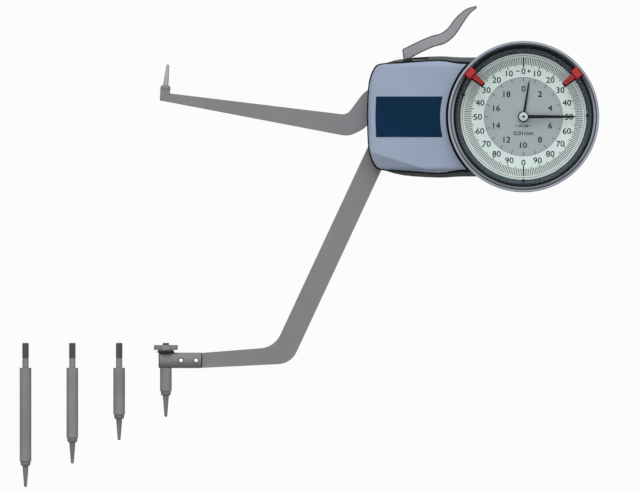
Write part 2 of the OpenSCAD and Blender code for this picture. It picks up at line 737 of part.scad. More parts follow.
// Thumb nut: a flange with five lobes on a narrower hub, one lobe towards the dial's side at rest
nut_lobes = 5;
nut_hub_t = 0.6;
nut_hub_r = 3.4;
scallop_r = 1.5;
scallop_deep = 0.9;
module thumb_nut() {
    color(dark_grey) upright(-jaw_x, holder_seat_y + washer_t, arm_z) difference() {
        union() {
            cylinder(r = nut_hub_r, h = nut_hub_t + eps);
            translate([0, 0, nut_hub_t]) cylinder(r = nut_r, h = nut_t - nut_hub_t);
        }
        translate([0, 0, -1]) cylinder(r = shank_r + run_fit, h = nut_t + 2);
        for (i = [0:nut_lobes - 1])
            rod(polar(nut_r + scallop_r - scallop_deep, 360 * (i + 0.5) / nut_lobes - 90), scallop_r,
                nut_hub_t, nut_t + 1);
    }
}

// Anvil with its shank up and a contact in its lower end; the contact's stud goes into the anvil
chamfer = 0.3;
stud_clear = 0.1;
collar_round = 0.8;
collar_neck = 0.1;
module anvil_piece(x, length, z) {
    color(steel) upright(x, shoulder_y, z) rotate_extrude() polygon([
        [0, shank_l], [shank_r - chamfer, shank_l], [shank_r, shank_l - chamfer], [shank_r, 0],
        [anvil_r - chamfer, 0], [anvil_r, -chamfer], [anvil_r, chamfer - length],
        [anvil_r - chamfer, -length], [stud_r + seat_fit, -length],
        [stud_r + seat_fit, stud_l + stud_clear - length], [0, stud_l + stud_clear - length]]);
}
module contact_piece() {
    color(light_steel) rotate_extrude() polygon(concat(
        [[0, stud_l], [stud_r, stud_l], [stud_r, 0], [collar_r, 0]],
        [for (a = [0:-30:-90]) [collar_r - collar_round, collar_round - collar_l] + polar(collar_round, a)],
        [[cone_r, -collar_l - collar_neck]],
        [for (a = [0:-15:-90]) [0, tip_r - contact_l] + polar(tip_r, a)]));
}
module anvil_contact(x, length, z) {
    upright(x, shoulder_y - length, z) contact_piece();
}
function spare_x(i) = -jaw_x - i * spare_pitch;
function spare_l(i) = anvil_l + i * anvil_step;
module anvil() {
    anvil_piece(-jaw_x, anvil_l, arm_z);
}
module anvil_tip() {
    anvil_contact(-jaw_x, anvil_l, arm_z);
}
module spare_anvil_20() {
    anvil_piece(spare_x(1), spare_l(1), spare_z);
}
module spare_tip_20() {
    anvil_contact(spare_x(1), spare_l(1), spare_z);
}
module spare_anvil_30() {
    anvil_piece(spare_x(2), spare_l(2), spare_z);
}
module spare_tip_30() {
    anvil_contact(spare_x(2), spare_l(2), spare_z);
}
module spare_anvil_40() {
    anvil_piece(spare_x(3), spare_l(3), spare_z);
}
module spare_tip_40() {
    anvil_contact(spare_x(3), spare_l(3), spare_z);
}

// Upper arm: strip with a knee, hub on the pivot, tail for the lever and tab for the sector
post_side = [contact_dir.y, -contact_dir.x] * end_w / 2;
end_corner = contact_base + post_side - 1.3 * contact_dir;
end_heel = contact_base - post_side - 4.8 * contact_dir + [0.2, 0];
strip_toe = [end_heel.x + 3.5, end_heel.y - 0.6];
knee_up = [knee + [4.3, 5.7], knee + [6.6, 8.7], knee + [9.6, 11], pivot + polar(hub_r - 0.6, 115)];
knee_under = [knee + [-2, -knee_w], knee + [1.2, -knee_w], knee + [5.1, 1.6 - knee_w],
    knee + [8.1, 3.7 - knee_w], pivot + [-4.5, -8], pivot + polar(hub_r - 0.6, -70)];
module arm_sheet() {
    translate([0, 0, arm_lo]) linear_extrude(arm_t) children();
}
module arm_blank() {
    arm_sheet() polygon(concat(
        [contact_base + post_side], fillet(contact_base + post_side, end_corner, knee, 0.6, 4),
        fillet(end_corner, knee, knee_up[0], 4), curve(knee_up), [pivot + [1.2, 0.7]],
        reversed(curve(knee_under)), [strip_toe, end_heel, contact_base - post_side]));
    arm_sheet() translate(pivot) circle(hub_r);
    arm_sheet() polygon([pivot + [-1.1, -0.4], [tail_face_x - tail_l, tail_top_y],
        [tail_face_x, tail_top_y], [tail_face_x, pivot.y + 0.9]]);
    arm_sheet() translate(pivot) rotate(tab_a) translate([0.5, -tab_w / 2]) square([tab_l - 0.5, tab_w]);
}
module moving_arm() {
    color(steel) difference() {
        union() {
            arm_blank();
        }
        rod(pivot, shaft_r + seat_fit, arm_lo - 1, arm_hi + 1);
        rod(spring_pin_at, spring_pin_r + seat_fit, arm_lo - 1, arm_hi + 1);
        for (d = tab_screws) rod(pivot + polar(d, tab_a), small_screw_r + seat_fit, arm_lo - 1, arm_hi + 1);
        upper_place() cylinder(r = stud_r + seat_fit, h = stud_l + stud_clear);
    }
}
module upper_place() {
    translate([contact_base.x, contact_base.y, arm_z]) rotate([0, 0, -contact_lean]) rotate([90, 0, 0])
        children();
}
module upper_contact() {
    upper_place() contact_piece();
}
module spring_pin() {
    color(steel) rod(spring_pin_at, spring_pin_r, arm_lo, spring_z + spring_pin_reach);
}

// Toothed sector on the tab of the upper arm
sector_first = -ceil(swing * sector_n / 360) - 2;
sector_last = 2;
sector_step = 360 / sector_n;
sector_neck_r = hub_r - 2;
module sector_sheet(lo, hi) {
    translate([pivot.x, pivot.y, lo]) linear_extrude(hi - lo) children();
}
module sector_gear() {
    low_a = mesh_a + (sector_first + 2) * sector_step;
    high_a = mesh_a + (sector_last - 2) * sector_step;
    color(brass) difference() {
        union() {
            rod(pivot, hub_r - 0.5, arm_hi, sector_hi);
            sector_sheet(arm_hi, sector_hi) polygon(concat(
                teeth(gear_m, sector_n, mesh_a, sector_first, sector_last),
                [polar(sector_neck_r, tab_a + 60), polar(sector_neck_r, tab_a - 60)]));
        }
        sector_sheet(arm_hi - 1, sector_hi + 1)
            polygon([polar(17, (low_a + high_a) / 2), polar(36, low_a), polar(36, high_a)]);
        rod(pivot, shaft_r + seat_fit, arm_hi - 1, sector_hi + 1);
        for (d = tab_screws) rod(pivot + polar(d, tab_a), small_screw_r + 0.1, arm_hi - 1, sector_hi + 1);
    }
}
module sector_screws() {
    color(steel) for (d = tab_screws) {
        rod(pivot + polar(d, tab_a), small_screw_r, arm_lo + 0.5, sector_hi);
        rod(pivot + polar(d, tab_a), 1.4, sector_hi, sector_hi + 0.8);
    }
}
module stop_pin() {
    color(steel) rod(stop_at, stop_pin_r, floor_t, arm_hi - 0.5);
}
module spring_post() {
    color(steel) rod(spring_post_at, spring_post_r, spring_z - spring_pin_reach, ceiling_z + post_seat);
}

// Return spring: one wound wire between the arm's pin and the post
coil_from = spring_pin_at.x + spring_pin_r + wire_r + 0.2;
coil_to = spring_post_at.x - spring_post_r - wire_r - 0.2;
coil_rings = 8;
wire_sides = 6;
coil_pitch = (coil_to - coil_from) / coil_turns;
module return_spring() {
    count = coil_turns * coil_rings;
    rings = [for (i = [0:count], k = [0:wire_sides - 1])
        let (a = 360 * i / coil_rings, side = polar(wire_r, 360 * k / wire_sides), reach = coil_r + side.x)
        [coil_from + (coil_to - coil_from) * i / count + side.y,
            spring_y + reach * cos(a), spring_z + reach * sin(a)]];
    faces = [for (i = [0:count - 1], k = [0:wire_sides - 1], half = [0, 1])
        let (a = i * wire_sides + k, b = i * wire_sides + (k + 1) % wire_sides)
        half == 0 ? [a, b, a + wire_sides] : [b, b + wire_sides, a + wire_sides]];
    echo(least_coil_gap = coil_pitch - 2 * wire_r);
    color(steel) polyhedron(rings, concat(
        [[for (k = [wire_sides - 1:-1:0]) k]], faces, [[for (k = [0:wire_sides - 1]) count * wire_sides + k]]));
}

// Thumb lever: curved blade, hub on its pin and a finger that pushes the arm's tail
blade_line = [[-1.2, 3.3, 0.95], [1.5, 4.65, 1.04], [5.1, 6.5, 1.04], [10.6, 8.9, 1.04], [14.9, 10.1, 1.03],
    [18.6, 13, 0.95], [21.9, 17.6, 0.87], [25.6, 21.6, 0.57], [29.4, 23.6, 0.2]];
blade_root = [[-2.4, 5.5], [-1.75, 0.17], [2.6, 2.45], [1.5, 4.65], [0.4, 6.8]];
pin_head_w = 0.5;
pin_head_t = 0.8;
pin_head_lo = lever_hi + 0.1;
module thumb_lever() {
    color(light_steel) difference() {
        translate([lever.x, lever.y, lever_lo]) union() {
            linear_extrude(lever_w) union() {
                polygon(ribbon(curve([for (p = blade_line) [p.x, p.y, p.z * blade_t / 2]])));
                polygon(blade_root);
                circle(lever_hub_r);
            }
            translate([0, 0, (lever_w - arm_t) / 2]) linear_extrude(arm_t) union() {
                translate([-finger_r, -finger_l]) square([2 * finger_r, finger_l]);
                translate([0, -finger_l]) circle(finger_r);
            }
        }
        rod(lever, lever_pin_r + run_fit, lever_lo - 1, lever_hi + 1);
    }
}
module lever_pin() {
    color(light_steel) {
        rod(lever, lever_pin_r, 1.2, pin_head_lo + eps);
        rod(lever, lever_pin_r + pin_head_w, pin_head_lo, pin_head_lo + pin_head_t);
    }
}

// Wheels and arbors of the movement; each gap faces a tooth on the line between two centres
module toothed(m, n, phase) {
    polygon(teeth(m, n, phase, 0, n - 1));
}
module wheel_blank(at, lo, hi, bore) {
    difference() {
        translate([at.x, at.y, lo]) linear_extrude(hi - lo) children();
        rod(at, bore, lo - 1, hi + 1);
    }
}
arbor_lo = base_lo + 0.2;
half_pinion = 180 / pinion_n;
out_a = train_a + 180;
module train_arbor() {
    color(steel) rod(train, arbor_r, arbor_lo, top_hi - 0.2);
}
module train_pinion() {
    color(brass) wheel_blank(train, pinion_lo, pinion_hi, arbor_r + seat_fit)
        toothed(gear_m, pinion_n, mesh_a + 180 + half_pinion);
}
module train_wheel() {
    color(brass) wheel_blank(train, wheel_lo, wheel_hi, arbor_r + seat_fit) difference() {
        toothed(gear_m, wheel_n, out_a);
        for (a = [0:72:288]) translate(polar(8, a)) circle(3.4);
    }
}
module transfer_wheel() {
    color(brass) wheel_blank(train, transfer_lo, transfer_hi, arbor_r + seat_fit)
        toothed(small_m, small_n, out_a);
}
module centre_arbor() {
    color(steel) rod([0, 0], arbor_r, arbor_lo, main_hand_z + pointer_t);
}
module centre_pinion() {
    color(brass) wheel_blank([0, 0], wheel_lo - tooth_side, wheel_hi + tooth_side, arbor_r + seat_fit)
        toothed(gear_m, pinion_n, train_a + half_pinion);
}
module small_hand_wheel() {
    color(brass) {
        wheel_blank([0, 0], transfer_lo, transfer_hi, arbor_r + run_fit)
            toothed(small_m, small_n, train_a + 180 / small_n);
        tube([0, 0], tube_r, arbor_r + run_fit, transfer_hi - eps, small_hand_z + pointer_t);
    }
}

// Pointers stand where the arm at rest puts them: half a millimetre past zero
small_hand_a = 90 - 9;
main_hand_a = 0;
hub_ring = 0.8;
module hand(length, width, bore, lo, a) {
    translate([0, 0, lo]) rotate(a) linear_extrude(pointer_t) difference() {
        union() {
            circle(bore + hub_ring);
            polygon([[0, -width / 2], [0.85 * length, -0.3 * width], [length, 0], [0.85 * length, 0.3 * width],
                [0, width / 2]]);
        }
        circle(bore);
    }
}
module main_pointer() {
    color(black) hand(pointer_l, pointer_w, arbor_r + seat_fit, main_hand_z, main_hand_a);
}
module small_pointer() {
    color(black) hand(small_pointer_l, 0.65 * pointer_w, tube_r + seat_fit, small_hand_z, small_hand_a);
}
cap_r = 1.9;
module pointer_cap() {
    color(light_steel) rod([0, 0], cap_r, main_hand_z + pointer_t, main_hand_z + pointer_t + 0.6);
}

// Turning bezel with the black ring, the crystal and the outer scale
lip_t = 0.35;
lip_w = 0.75;
clip_deep = 0.5;
bezel_edge = 0.35;
bezel_shoulder = 0.5;
slope_foot = 0.1;
bezel_step_z = dial_z - dial_t - lip_t;
module bezel_ring() {
    color(paint_blue) rotate_extrude() polygon([
        [bezel_bore_r, bezel_lo], [bezel_r, bezel_lo], [bezel_r, bezel_hi - bezel_shoulder],
        [bezel_r - 0.35 * bezel_edge, bezel_hi - 0.3 * bezel_shoulder], [bezel_r - bezel_edge, bezel_hi],
        [groove_r[1], bezel_hi], [groove_r[1], groove_z], [groove_r[0], groove_z], [groove_r[0], bezel_hi],
        [glass_r, crystal_hi + slope_foot], [glass_r, dial_z - dial_t],
        [glass_r - lip_w, dial_z - dial_t], [glass_r - lip_w, bezel_step_z], [bezel_bore_r, bezel_step_z],
        [bezel_bore_r, clip_z + clip_half], [bezel_bore_r + clip_deep, clip_z + clip_half],
        [bezel_bore_r + clip_deep, clip_z - clip_half], [bezel_bore_r, clip_z - clip_half]]);
}
module black_ring() {
    color(black) rotate_extrude() polygon([
        [dial_open_r, dial_z], [glass_r - seat_fit, dial_z], [glass_r - seat_fit, crystal_lo],
        [glass_r - 1, crystal_lo], [dial_open_r, dial_z + 0.4]]);
}
module crystal() {
    color(clear_glass) rod([0, 0], glass_r - seat_fit, crystal_lo, crystal_hi);
}
module scale_ring() {
    color(dial_mint) tube([0, 0], glass_r - seat_fit, inner_dial_r + 0.15, dial_z - dial_t, dial_z);
}

// Tolerance marker: a head on the bezel, a foot in its groove and a tongue over the scale
tongue_reach = 4.9;
tongue_root_w = 0.57 * marker_w;
tongue_tip_w = 0.4 * marker_w;
tongue_root_l = 1;
tongue_lift = 0.15;
tongue_rise = 0.6;
head_reach = 2.05;
head_lift = 0.1;
tongue_r = dial_open_r - tongue_reach;
head_r = glass_r - head_reach;
head_lo = bezel_hi + head_lift;
tongue_lo = crystal_hi + tongue_lift;
foot_half_a = 3.5;
module marker(a) {
    color(signal_red) rotate(a) {
        translate([-marker_w / 2, head_r, head_lo]) cube([marker_w, groove_r[1] - run_fit - head_r, marker_t]);
        translate([0, 0, tongue_lo]) linear_extrude(head_lo + tongue_rise - tongue_lo)
            polygon([[-tongue_root_w / 2, head_r + tongue_root_l], [-tongue_root_w / 2, head_r],
                [-tongue_tip_w / 2, tongue_r], [tongue_tip_w / 2, tongue_r],
                [tongue_root_w / 2, head_r], [tongue_root_w / 2, head_r + tongue_root_l]]);
        translate([0, 0, groove_z + run_fit]) rotate(90 - foot_half_a) rotate_extrude(angle = 2 * foot_half_a)
            translate([groove_r[0] + run_fit, 0])
            square([groove_r[1] - groove_r[0] - 2 * run_fit, head_lo - groove_z]);
    }
}
module marker_left() {
    marker(marker_angle);
}
module marker_right() {
    marker(-marker_angle);
}

rear_housing();
front_cover();
cover_gasket();
label_plate();
housing_screws();
dial_case();
case_screws();
bezel_spring();
inner_dial();
base_plate();
top_plate();
movement_pillars();
bridge_screws();
movement_bushes();
hairspring();
hairspring_stud();
pivot_bush_rear();
pivot_bush_front();
fixed_arm();
fixed_arm_screws();
anvil_holder();
lever_pin();
spring_post();
stop_pin();
return_spring();
moving_arm();
upper_contact();
pivot_shaft();
sector_gear();
sector_screws();
spring_pin();
thumb_lever();
train_arbor();
train_pinion();
train_wheel();
transfer_wheel();
hairspring_collet();
centre_arbor();
centre_pinion();
main_pointer();
pointer_cap();
small_hand_wheel();
small_pointer();
bezel_ring();
black_ring();
crystal();
scale_ring();
marker_left();
marker_right();
nut_washer();
thumb_nut();
anvil();
anvil_tip();
spare_anvil_20();
spare_tip_20();
spare_anvil_30();
spare_tip_30();
spare_anvil_40();
spare_tip_40();
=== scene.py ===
"""Looks of an inside dial caliper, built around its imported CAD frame.

The tool lies on its back on a pale floor and is seen straight from above. Z is the dial axis,
X runs to the right and Y runs up the dial. Sizes are in millimetres unless a note says metres.
"""
import logging
import math
from dataclasses import dataclass, field
from enum import Enum
from typing import Callable, Optional, Sequence

import bmesh
import bpy
from mathutils import Matrix, Vector


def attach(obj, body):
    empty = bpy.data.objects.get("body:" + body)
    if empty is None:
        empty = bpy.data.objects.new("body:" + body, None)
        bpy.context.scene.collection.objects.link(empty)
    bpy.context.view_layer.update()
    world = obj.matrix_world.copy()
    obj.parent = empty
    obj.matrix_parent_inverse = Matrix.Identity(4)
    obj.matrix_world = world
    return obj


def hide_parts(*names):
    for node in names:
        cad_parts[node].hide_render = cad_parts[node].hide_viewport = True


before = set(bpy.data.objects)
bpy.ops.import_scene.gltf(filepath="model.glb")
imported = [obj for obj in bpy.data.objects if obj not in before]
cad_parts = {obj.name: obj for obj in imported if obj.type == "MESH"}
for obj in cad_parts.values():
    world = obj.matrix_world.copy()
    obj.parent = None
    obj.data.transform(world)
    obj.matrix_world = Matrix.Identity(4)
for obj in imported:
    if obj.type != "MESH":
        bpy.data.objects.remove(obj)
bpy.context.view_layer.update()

MM = 0.001
# Metres within which points of a CAD copy, of a rounding and of a turned or cut shape are one
CAD_WELD, EDGE_WELD, TURN_WELD = 2e-6, 1e-6, 1e-7
# Degrees up to which neighbouring triangles of a CAD copy are one flat face
FLAT_ANGLE = 0.6
# Rounding of a CAD copy: width in millimetres, steps and least angle in degrees of a rounded edge
TIP_ROUND, HAND_ROUND, ARM_ROUND = (0.08, 2, 28.0), (0.06, 2, 28.0), (0.2, 2, 28.0)
ROUNDING = {
    "front_cover": (0.3, 3, 40.0), "rear_housing": (0.17, 2, 40.0), "label_plate": (0.08, 2, 28.0),
    "main_pointer": HAND_ROUND, "small_pointer": HAND_ROUND, "moving_arm": ARM_ROUND,
    "fixed_arm": ARM_ROUND, "thumb_lever": (0.45, 3, 40.0), "thumb_nut": (0.24, 3, 28.0),
    "upper_contact": TIP_ROUND, "anvil_tip": TIP_ROUND, "spare_tip_20": TIP_ROUND,
    "spare_tip_30": TIP_ROUND, "spare_tip_40": TIP_ROUND}
# Octaves of the fine marks and of the slow patches, and what a fine octave keeps of the last
FINE_OCTAVES, PATCH_OCTAVES, OCTAVE_SHARE = 3.0, 2.0, 0.6
# Values of the noise that stand for the least and the most of the marks and of the patches
FINE_LOW, FINE_HIGH, PATCH_LOW, PATCH_HIGH = 0.3, 0.7, 0.35, 0.7
LOG = logging.getLogger("dial_caliper")
Mesh = bmesh.types.BMesh
Edge = bmesh.types.BMEdge
Pair = tuple[float, float]


class Body(str, Enum):
    """Bodies of the frame that a new piece can ride on."""

    HOUSING = "body"
    UPPER_ARM = "upper_arm"
    LEVER = "lever"
    MAIN_HAND = "main_hand"
    SMALL_HAND = "small_hand"
    BEZEL = "bezel"
    LEFT_MARKER = "left_marker"
    RIGHT_MARKER = "right_marker"
    NUT = "nut"
    ANVIL = "mounted_anvil"
    SPARE_20 = "spare_20"
    SPARE_30 = "spare_30"
    SPARE_40 = "spare_40"


def linear(code: str) -> tuple[float, float, float, float]:
    """Turns an sRGB colour into the linear one that shaders take.

    Args:
        code: Six hex digits after a hash sign.

    Returns:
        Linear red, green, blue and an alpha of one.
    """
    parts = [int(code[i:i + 2], 16) / 255 for i in (1, 3, 5)]
    red, green, blue = (c / 12.92 if c <= 0.04045 else ((c + 0.055) / 1.055) ** 2.4 for c in parts)
    return red, green, blue, 1.0


def add_node(tree: bpy.types.NodeTree, kind: str, sockets: Optional[dict] = None,
             **settings: object) -> bpy.types.Node:
    """Adds a shader node with its settings and links.

    Args:
        tree: Node tree that takes the node.
        kind: Type name of the node.
        sockets: Values for inputs by name or number; an output socket as a value is linked.
        settings: Properties of the node itself.

    Returns:
        The new node.
    """
    node = tree.nodes.new(kind)
    for name, value in settings.items():
        setattr(node, name, value)
    for key, value in (sockets or {}).items():
        if isinstance(value, bpy.types.NodeSocket):
            tree.links.new(value, node.inputs[key])
        else:
            node.inputs[key].default_value = value
    return node


@dataclass(frozen=True)
class Finish:
    """A real surface: its colour, how it mirrors light and the marks its making left.

    Attributes:
        name: Material and process.
        colour: Main sRGB colour.
        shade: sRGB colour of the darker patches.
        metallic: Share of bare metal.
        roughness: Middle roughness.
        spread: How far the roughness varies each way.
        grain_mm: Size of the fine marks, drawn coarser than the real ones so that they show.
        squeeze: How many times closer the fine marks lie along X, Y and Z.
        relief_mm: Height of the fine marks.
        patch_mm: Size of the slow changes of colour.
        gloss: Level of the mirror image on what isn't metal, where a half is usual.
    """

    name: str
    colour: str
    shade: str
    metallic: float = 0.0
    roughness: float = 0.5
    spread: float = 0.06
    grain_mm: float = 0.3
    squeeze: tuple[float, float, float] = (1.0, 1.0, 1.0)
    relief_mm: float = 0.01
    patch_mm: float = 9.0
    gloss: float = 0.5

    def material(self) -> bpy.types.Material:
        """Makes this finish's material on first use.

        Returns:
            The material.
        """
        made = bpy.data.materials.get(self.name)
        if made is None:
            made = bpy.data.materials.new(self.name)
            made.use_nodes = True
            made.node_tree.nodes.clear()
            self.wire(made.node_tree)
        return made

    def wire(self, tree: bpy.types.NodeTree) -> None:
        """Wires patches of colour, varied roughness and fine relief into one shader.

        Args:
            tree: Empty node tree of the material.
        """
        place = add_node(tree, "ShaderNodeTexCoord").outputs["Object"]
        drawn = add_node(tree, "ShaderNodeMapping", {"Vector": place, "Scale": self.squeeze})
        grain = add_node(tree, "ShaderNodeTexNoise", {
            "Vector": drawn.outputs[0], "Scale": 1 / (self.grain_mm * MM), "Detail": FINE_OCTAVES,
            "Roughness": OCTAVE_SHARE})
        patch = add_node(tree, "ShaderNodeTexNoise", {
            "Vector": place, "Scale": 1 / (self.patch_mm * MM), "Detail": PATCH_OCTAVES})
        blend = add_node(tree, "ShaderNodeMapRange", {
            "Value": patch.outputs["Fac"], "From Min": PATCH_LOW, "From Max": PATCH_HIGH})
        tint = add_node(tree, "ShaderNodeMix", {
            0: blend.outputs[0], 6: linear(self.colour), 7: linear(self.shade)}, data_type="RGBA")
        rough = add_node(tree, "ShaderNodeMapRange", {
            "Value": grain.outputs["Fac"], "From Min": FINE_LOW, "From Max": FINE_HIGH,
            "To Min": self.roughness - self.spread, "To Max": self.roughness + self.spread})
        relief = add_node(tree, "ShaderNodeBump", {
            "Height": grain.outputs["Fac"], "Distance": self.relief_mm * MM})
        shader = add_node(tree, "ShaderNodeBsdfPrincipled", {
            "Base Color": tint.outputs[2], "Metallic": self.metallic, "Roughness": rough.outputs[0],
            "Normal": relief.outputs[0], "Specular IOR Level": self.gloss})
        add_node(tree, "ShaderNodeOutputMaterial", {"Surface": shader.outputs[0]})


@dataclass(frozen=True)
class ClearGlass(Finish):
    """Flat mineral glass with a coating that takes most of the mirror image away.

    Attributes:
        ior: Index of refraction.
        body: Share of the light that the glass bends or mirrors; the rest goes straight through.
    """

    ior: float = 1.5
    body: float = 0.05

    def wire(self, tree: bpy.types.NodeTree) -> None:
        """Wires a clear shader whose roughness has the faintest polish marks.

        Args:
            tree: Empty node tree of the material.
        """
        place = add_node(tree, "ShaderNodeTexCoord").outputs["Object"]
        polish = add_node(tree, "ShaderNodeTexNoise", {
            "Vector": place, "Scale": 1 / (self.grain_mm * MM)})
        rough = add_node(tree, "ShaderNodeMapRange", {
            "Value": polish.outputs["Fac"], "To Max": self.roughness})
        shader = add_node(tree, "ShaderNodeBsdfPrincipled", {
            "Base Color": linear(self.colour), "Roughness": rough.outputs[0], "IOR": self.ior,
            "Specular IOR Level": self.gloss, "Transmission Weight": 1.0, "Alpha": self.body})
        add_node(tree, "ShaderNodeOutputMaterial", {"Surface": shader.outputs[0]})


# Sprayed metallic paint on a casting: soft sheen, fine orange peel
COVER_PAINT = Finish(
    "sprayed_blue_grey_paint_on_cast_aluminium", "#97a3b8", "#929eb3",
    metallic=0.2, roughness=0.45, spread=0.05, grain_mm=0.35, relief_mm=0.004, patch_mm=14,
    gloss=0.3)
# Textured dark paint: matt, slightly pebbled
REAR_PAINT = Finish(
    "textured_dark_grey_paint_on_cast_aluminium", "#595f5e", "#535958",
    roughness=0.6, spread=0.08, relief_mm=0.012, gloss=0.06, grain_mm=0.5)
# Moulded rubber: dead black and dull; also painted as shade in the cover's gap round the bezel and
# on the foot of the black ring's slope
BLACK_RUBBER_AND_SHADE = Finish(
    "moulded_black_rubber_and_painted_shade", "#141516", "#101112",
    roughness=0.75, grain_mm=0.4, gloss=0.2)
# Printed polyester film: deep navy, almost without shine
LABEL_FILM = Finish(
    "printed_navy_polyester_film", "#0c2c48", "#0a2943",
    roughness=0.6, spread=0.04, relief_mm=0.001, patch_mm=8, gloss=0.06)
# Bead-blasted and phosphated tool steel: even satin grey with faint cloudiness
ARM_STEEL = Finish(
    "bead_blasted_phosphated_steel", "#868689", "#818184",
    metallic=0.1, roughness=0.6, relief_mm=0.006, patch_mm=11, gloss=0.06)
# Ground and phosphated tool steel: dull, with fine rings across the axis
ANVIL_STEEL = Finish(
    "ground_phosphated_steel", "#8a8a8c", "#808082",
    metallic=0.05, roughness=0.7, grain_mm=0.25, squeeze=(0.25, 2.5, 0.25), relief_mm=0.004,
    gloss=0.03)
# Cut thread in blackened steel: dark with brighter crests
THREAD_STEEL = Finish(
    "cut_thread_black_oxide_steel", "#666667", "#5c5c5d",
    metallic=0.05, roughness=0.65, spread=0.08, grain_mm=0.2, gloss=0.04)
# Lapped hard metal: smooth, a shade darker than the steel
CONTACT_METAL = Finish(
    "lapped_hard_metal", "#7c7c7e", "#727274",
    metallic=0.1, spread=0.05, grain_mm=0.2, relief_mm=0.002, gloss=0.06)
# Polished hard metal: bright down its middle
POLISHED_METAL = Finish(
    "polished_hard_metal", "#b2b2b2", "#a6a6a6",
    metallic=1.0, roughness=0.22, spread=0.04, grain_mm=0.2, relief_mm=0.002)
# Worn black oxide on a pressed nut: mid grey with a soft sheen
NUT_OXIDE = Finish(
    "black_oxide_pressed_steel", "#8a8a8b", "#7c7c7e",
    metallic=0.05, roughness=0.6, spread=0.07, gloss=0.04)
# Black oxide on a turned washer: near black with a soft sheen; also painted as shade on the
# holder's end rims and in its cross holes
BLACK_OXIDE_AND_SHADE = Finish(
    "black_oxide_steel_and_painted_shade", "#343436", "#2c2c2e",
    metallic=0.4, roughness=0.45, gloss=0.1)
# Tumbled cast alloy: light grey, slightly grainy
LEVER_ALLOY = Finish(
    "tumbled_cast_zinc_alloy", "#96979b", "#8f9094",
    metallic=0.3, roughness=0.52, spread=0.07, grain_mm=0.4)
# Painted shade on the lever's rounded edges: dark grey
LEVER_EDGE_SHADE = Finish(
    "painted_shade_zinc_edge", "#4c4d50", "#434447",
    metallic=0.1, roughness=0.6, grain_mm=0.4, gloss=0.2)
# Painted shade on the lever's stem below its blade: dark grey and dull
LEVER_STEM_SHADE = Finish(
    "painted_shade_lever_stem", "#363d3f", "#2f3638",
    roughness=0.65, spread=0.05, grain_mm=0.4, gloss=0.25)
# Anodised aluminium: cool blue-grey and nearly as bright as a mirror
BEZEL_ANODISE = Finish(
    "anodised_turned_aluminium", "#a0a6b0", "#979da7",
    metallic=0.95, roughness=0.17, spread=0.03, relief_mm=0.001)
# Gloss moulded ring: blue-black, mirrors the scale in its slope
RING_PLASTIC = Finish(
    "gloss_moulded_black_abs", "#2e3d47", "#27353f",
    roughness=0.22, spread=0.04, relief_mm=0.002, grain_mm=0.5)
# Printed dial: pale mint lacquer on aluminium
DIAL_MINT = Finish(
    "screen_printed_mint_lacquer", "#d3e2df", "#cedddb",
    spread=0.04, relief_mm=0.001, gloss=0.2)
# Printed dial: satin grey lacquer
DIAL_GREY = Finish(
    "screen_printed_grey_lacquer", "#a1acad", "#9ca7a8",
    metallic=0.05, spread=0.04, relief_mm=0.001, gloss=0.2)
# Printing ink: near black, dull
DIAL_INK = Finish(
    "screen_printed_black_ink", "#101415", "#0d1011",
    roughness=0.6, spread=0.04, relief_mm=0.001, gloss=0.1)
# Lacquered stamping: black with a soft sheen
HAND_LACQUER = Finish(
    "black_lacquered_brass_stamping", "#0d0f10", "#0a0b0c",
    roughness=0.4, spread=0.05, relief_mm=0.002, gloss=0.15)
# Moulded cap: light grey with a soft sheen
CAP_PLASTIC = Finish(
    "moulded_grey_acetal", "#bac4c4", "#b3bdbd",
    roughness=0.4, spread=0.04, relief_mm=0.003, gloss=0.3)
# Moulded marker: signal red with a soft sheen
MARKER_RED = Finish(
    "moulded_red_abs", "#b0322f", "#a32c2a",
    roughness=0.42, spread=0.05, grain_mm=0.4, relief_mm=0.005, gloss=0.25)
# Painted shade on the marker: deep red on its edges that turn down away from the light and on its
# ribs
MARKER_SHADE = Finish(
    "painted_shade_deep_red_abs", "#7a1f24", "#6c1a1e",
    spread=0.05, grain_mm=0.4, relief_mm=0.005, gloss=0.15)
# Painted shadow under the marker's tongue: a black sheet, dead dull, that shows past its lower side
MARKER_SHADOW_SHEET = Finish(
    "black_sheet_painted_shadow", "#0e0f10", "#0a0b0c",
    roughness=0.9, spread=0.05, relief_mm=0.02, gloss=0.05)
# Painted shade in the bezel's groove: a darker grey than the ring
GROOVE_SHADE = Finish(
    "painted_shade_groove", "#565c68", "#4e545f",
    metallic=0.3, spread=0.05, gloss=0.1)
# Plated machine screw: bright, with a faint grain
SCREW_STEEL = Finish(
    "nickel_plated_steel", "#b4b4b2", "#a6a6a4",
    metallic=1.0, roughness=0.28, spread=0.05, grain_mm=0.2, relief_mm=0.002)
# Dull nickel on a brass plate: warm grey
PLATE_NICKEL = Finish(
    "dull_nickel_plated_brass", "#8f9492", "#868b89",
    metallic=1.0, roughness=0.4, spread=0.05, relief_mm=0.003)
# Turned brass: warm yellow with a fine grain
BRASS = Finish(
    "turned_brass", "#c9a65c", "#b89450",
    metallic=1.0, roughness=0.3, grain_mm=0.25, relief_mm=0.003)
# Drawn wire and ground shafts: plain bright steel
SPRING_STEEL = Finish(
    "drawn_spring_steel", "#8c8c90", "#7e7e82",
    metallic=1.0, roughness=0.32, spread=0.05, grain_mm=0.2, relief_mm=0.002)
# Coated mineral glass: clear, with the faintest mirror image
CRYSTAL = ClearGlass(
    "polished_mineral_glass", "#ffffff", "#ffffff",
    roughness=0.01, grain_mm=2.0, gloss=0.15)


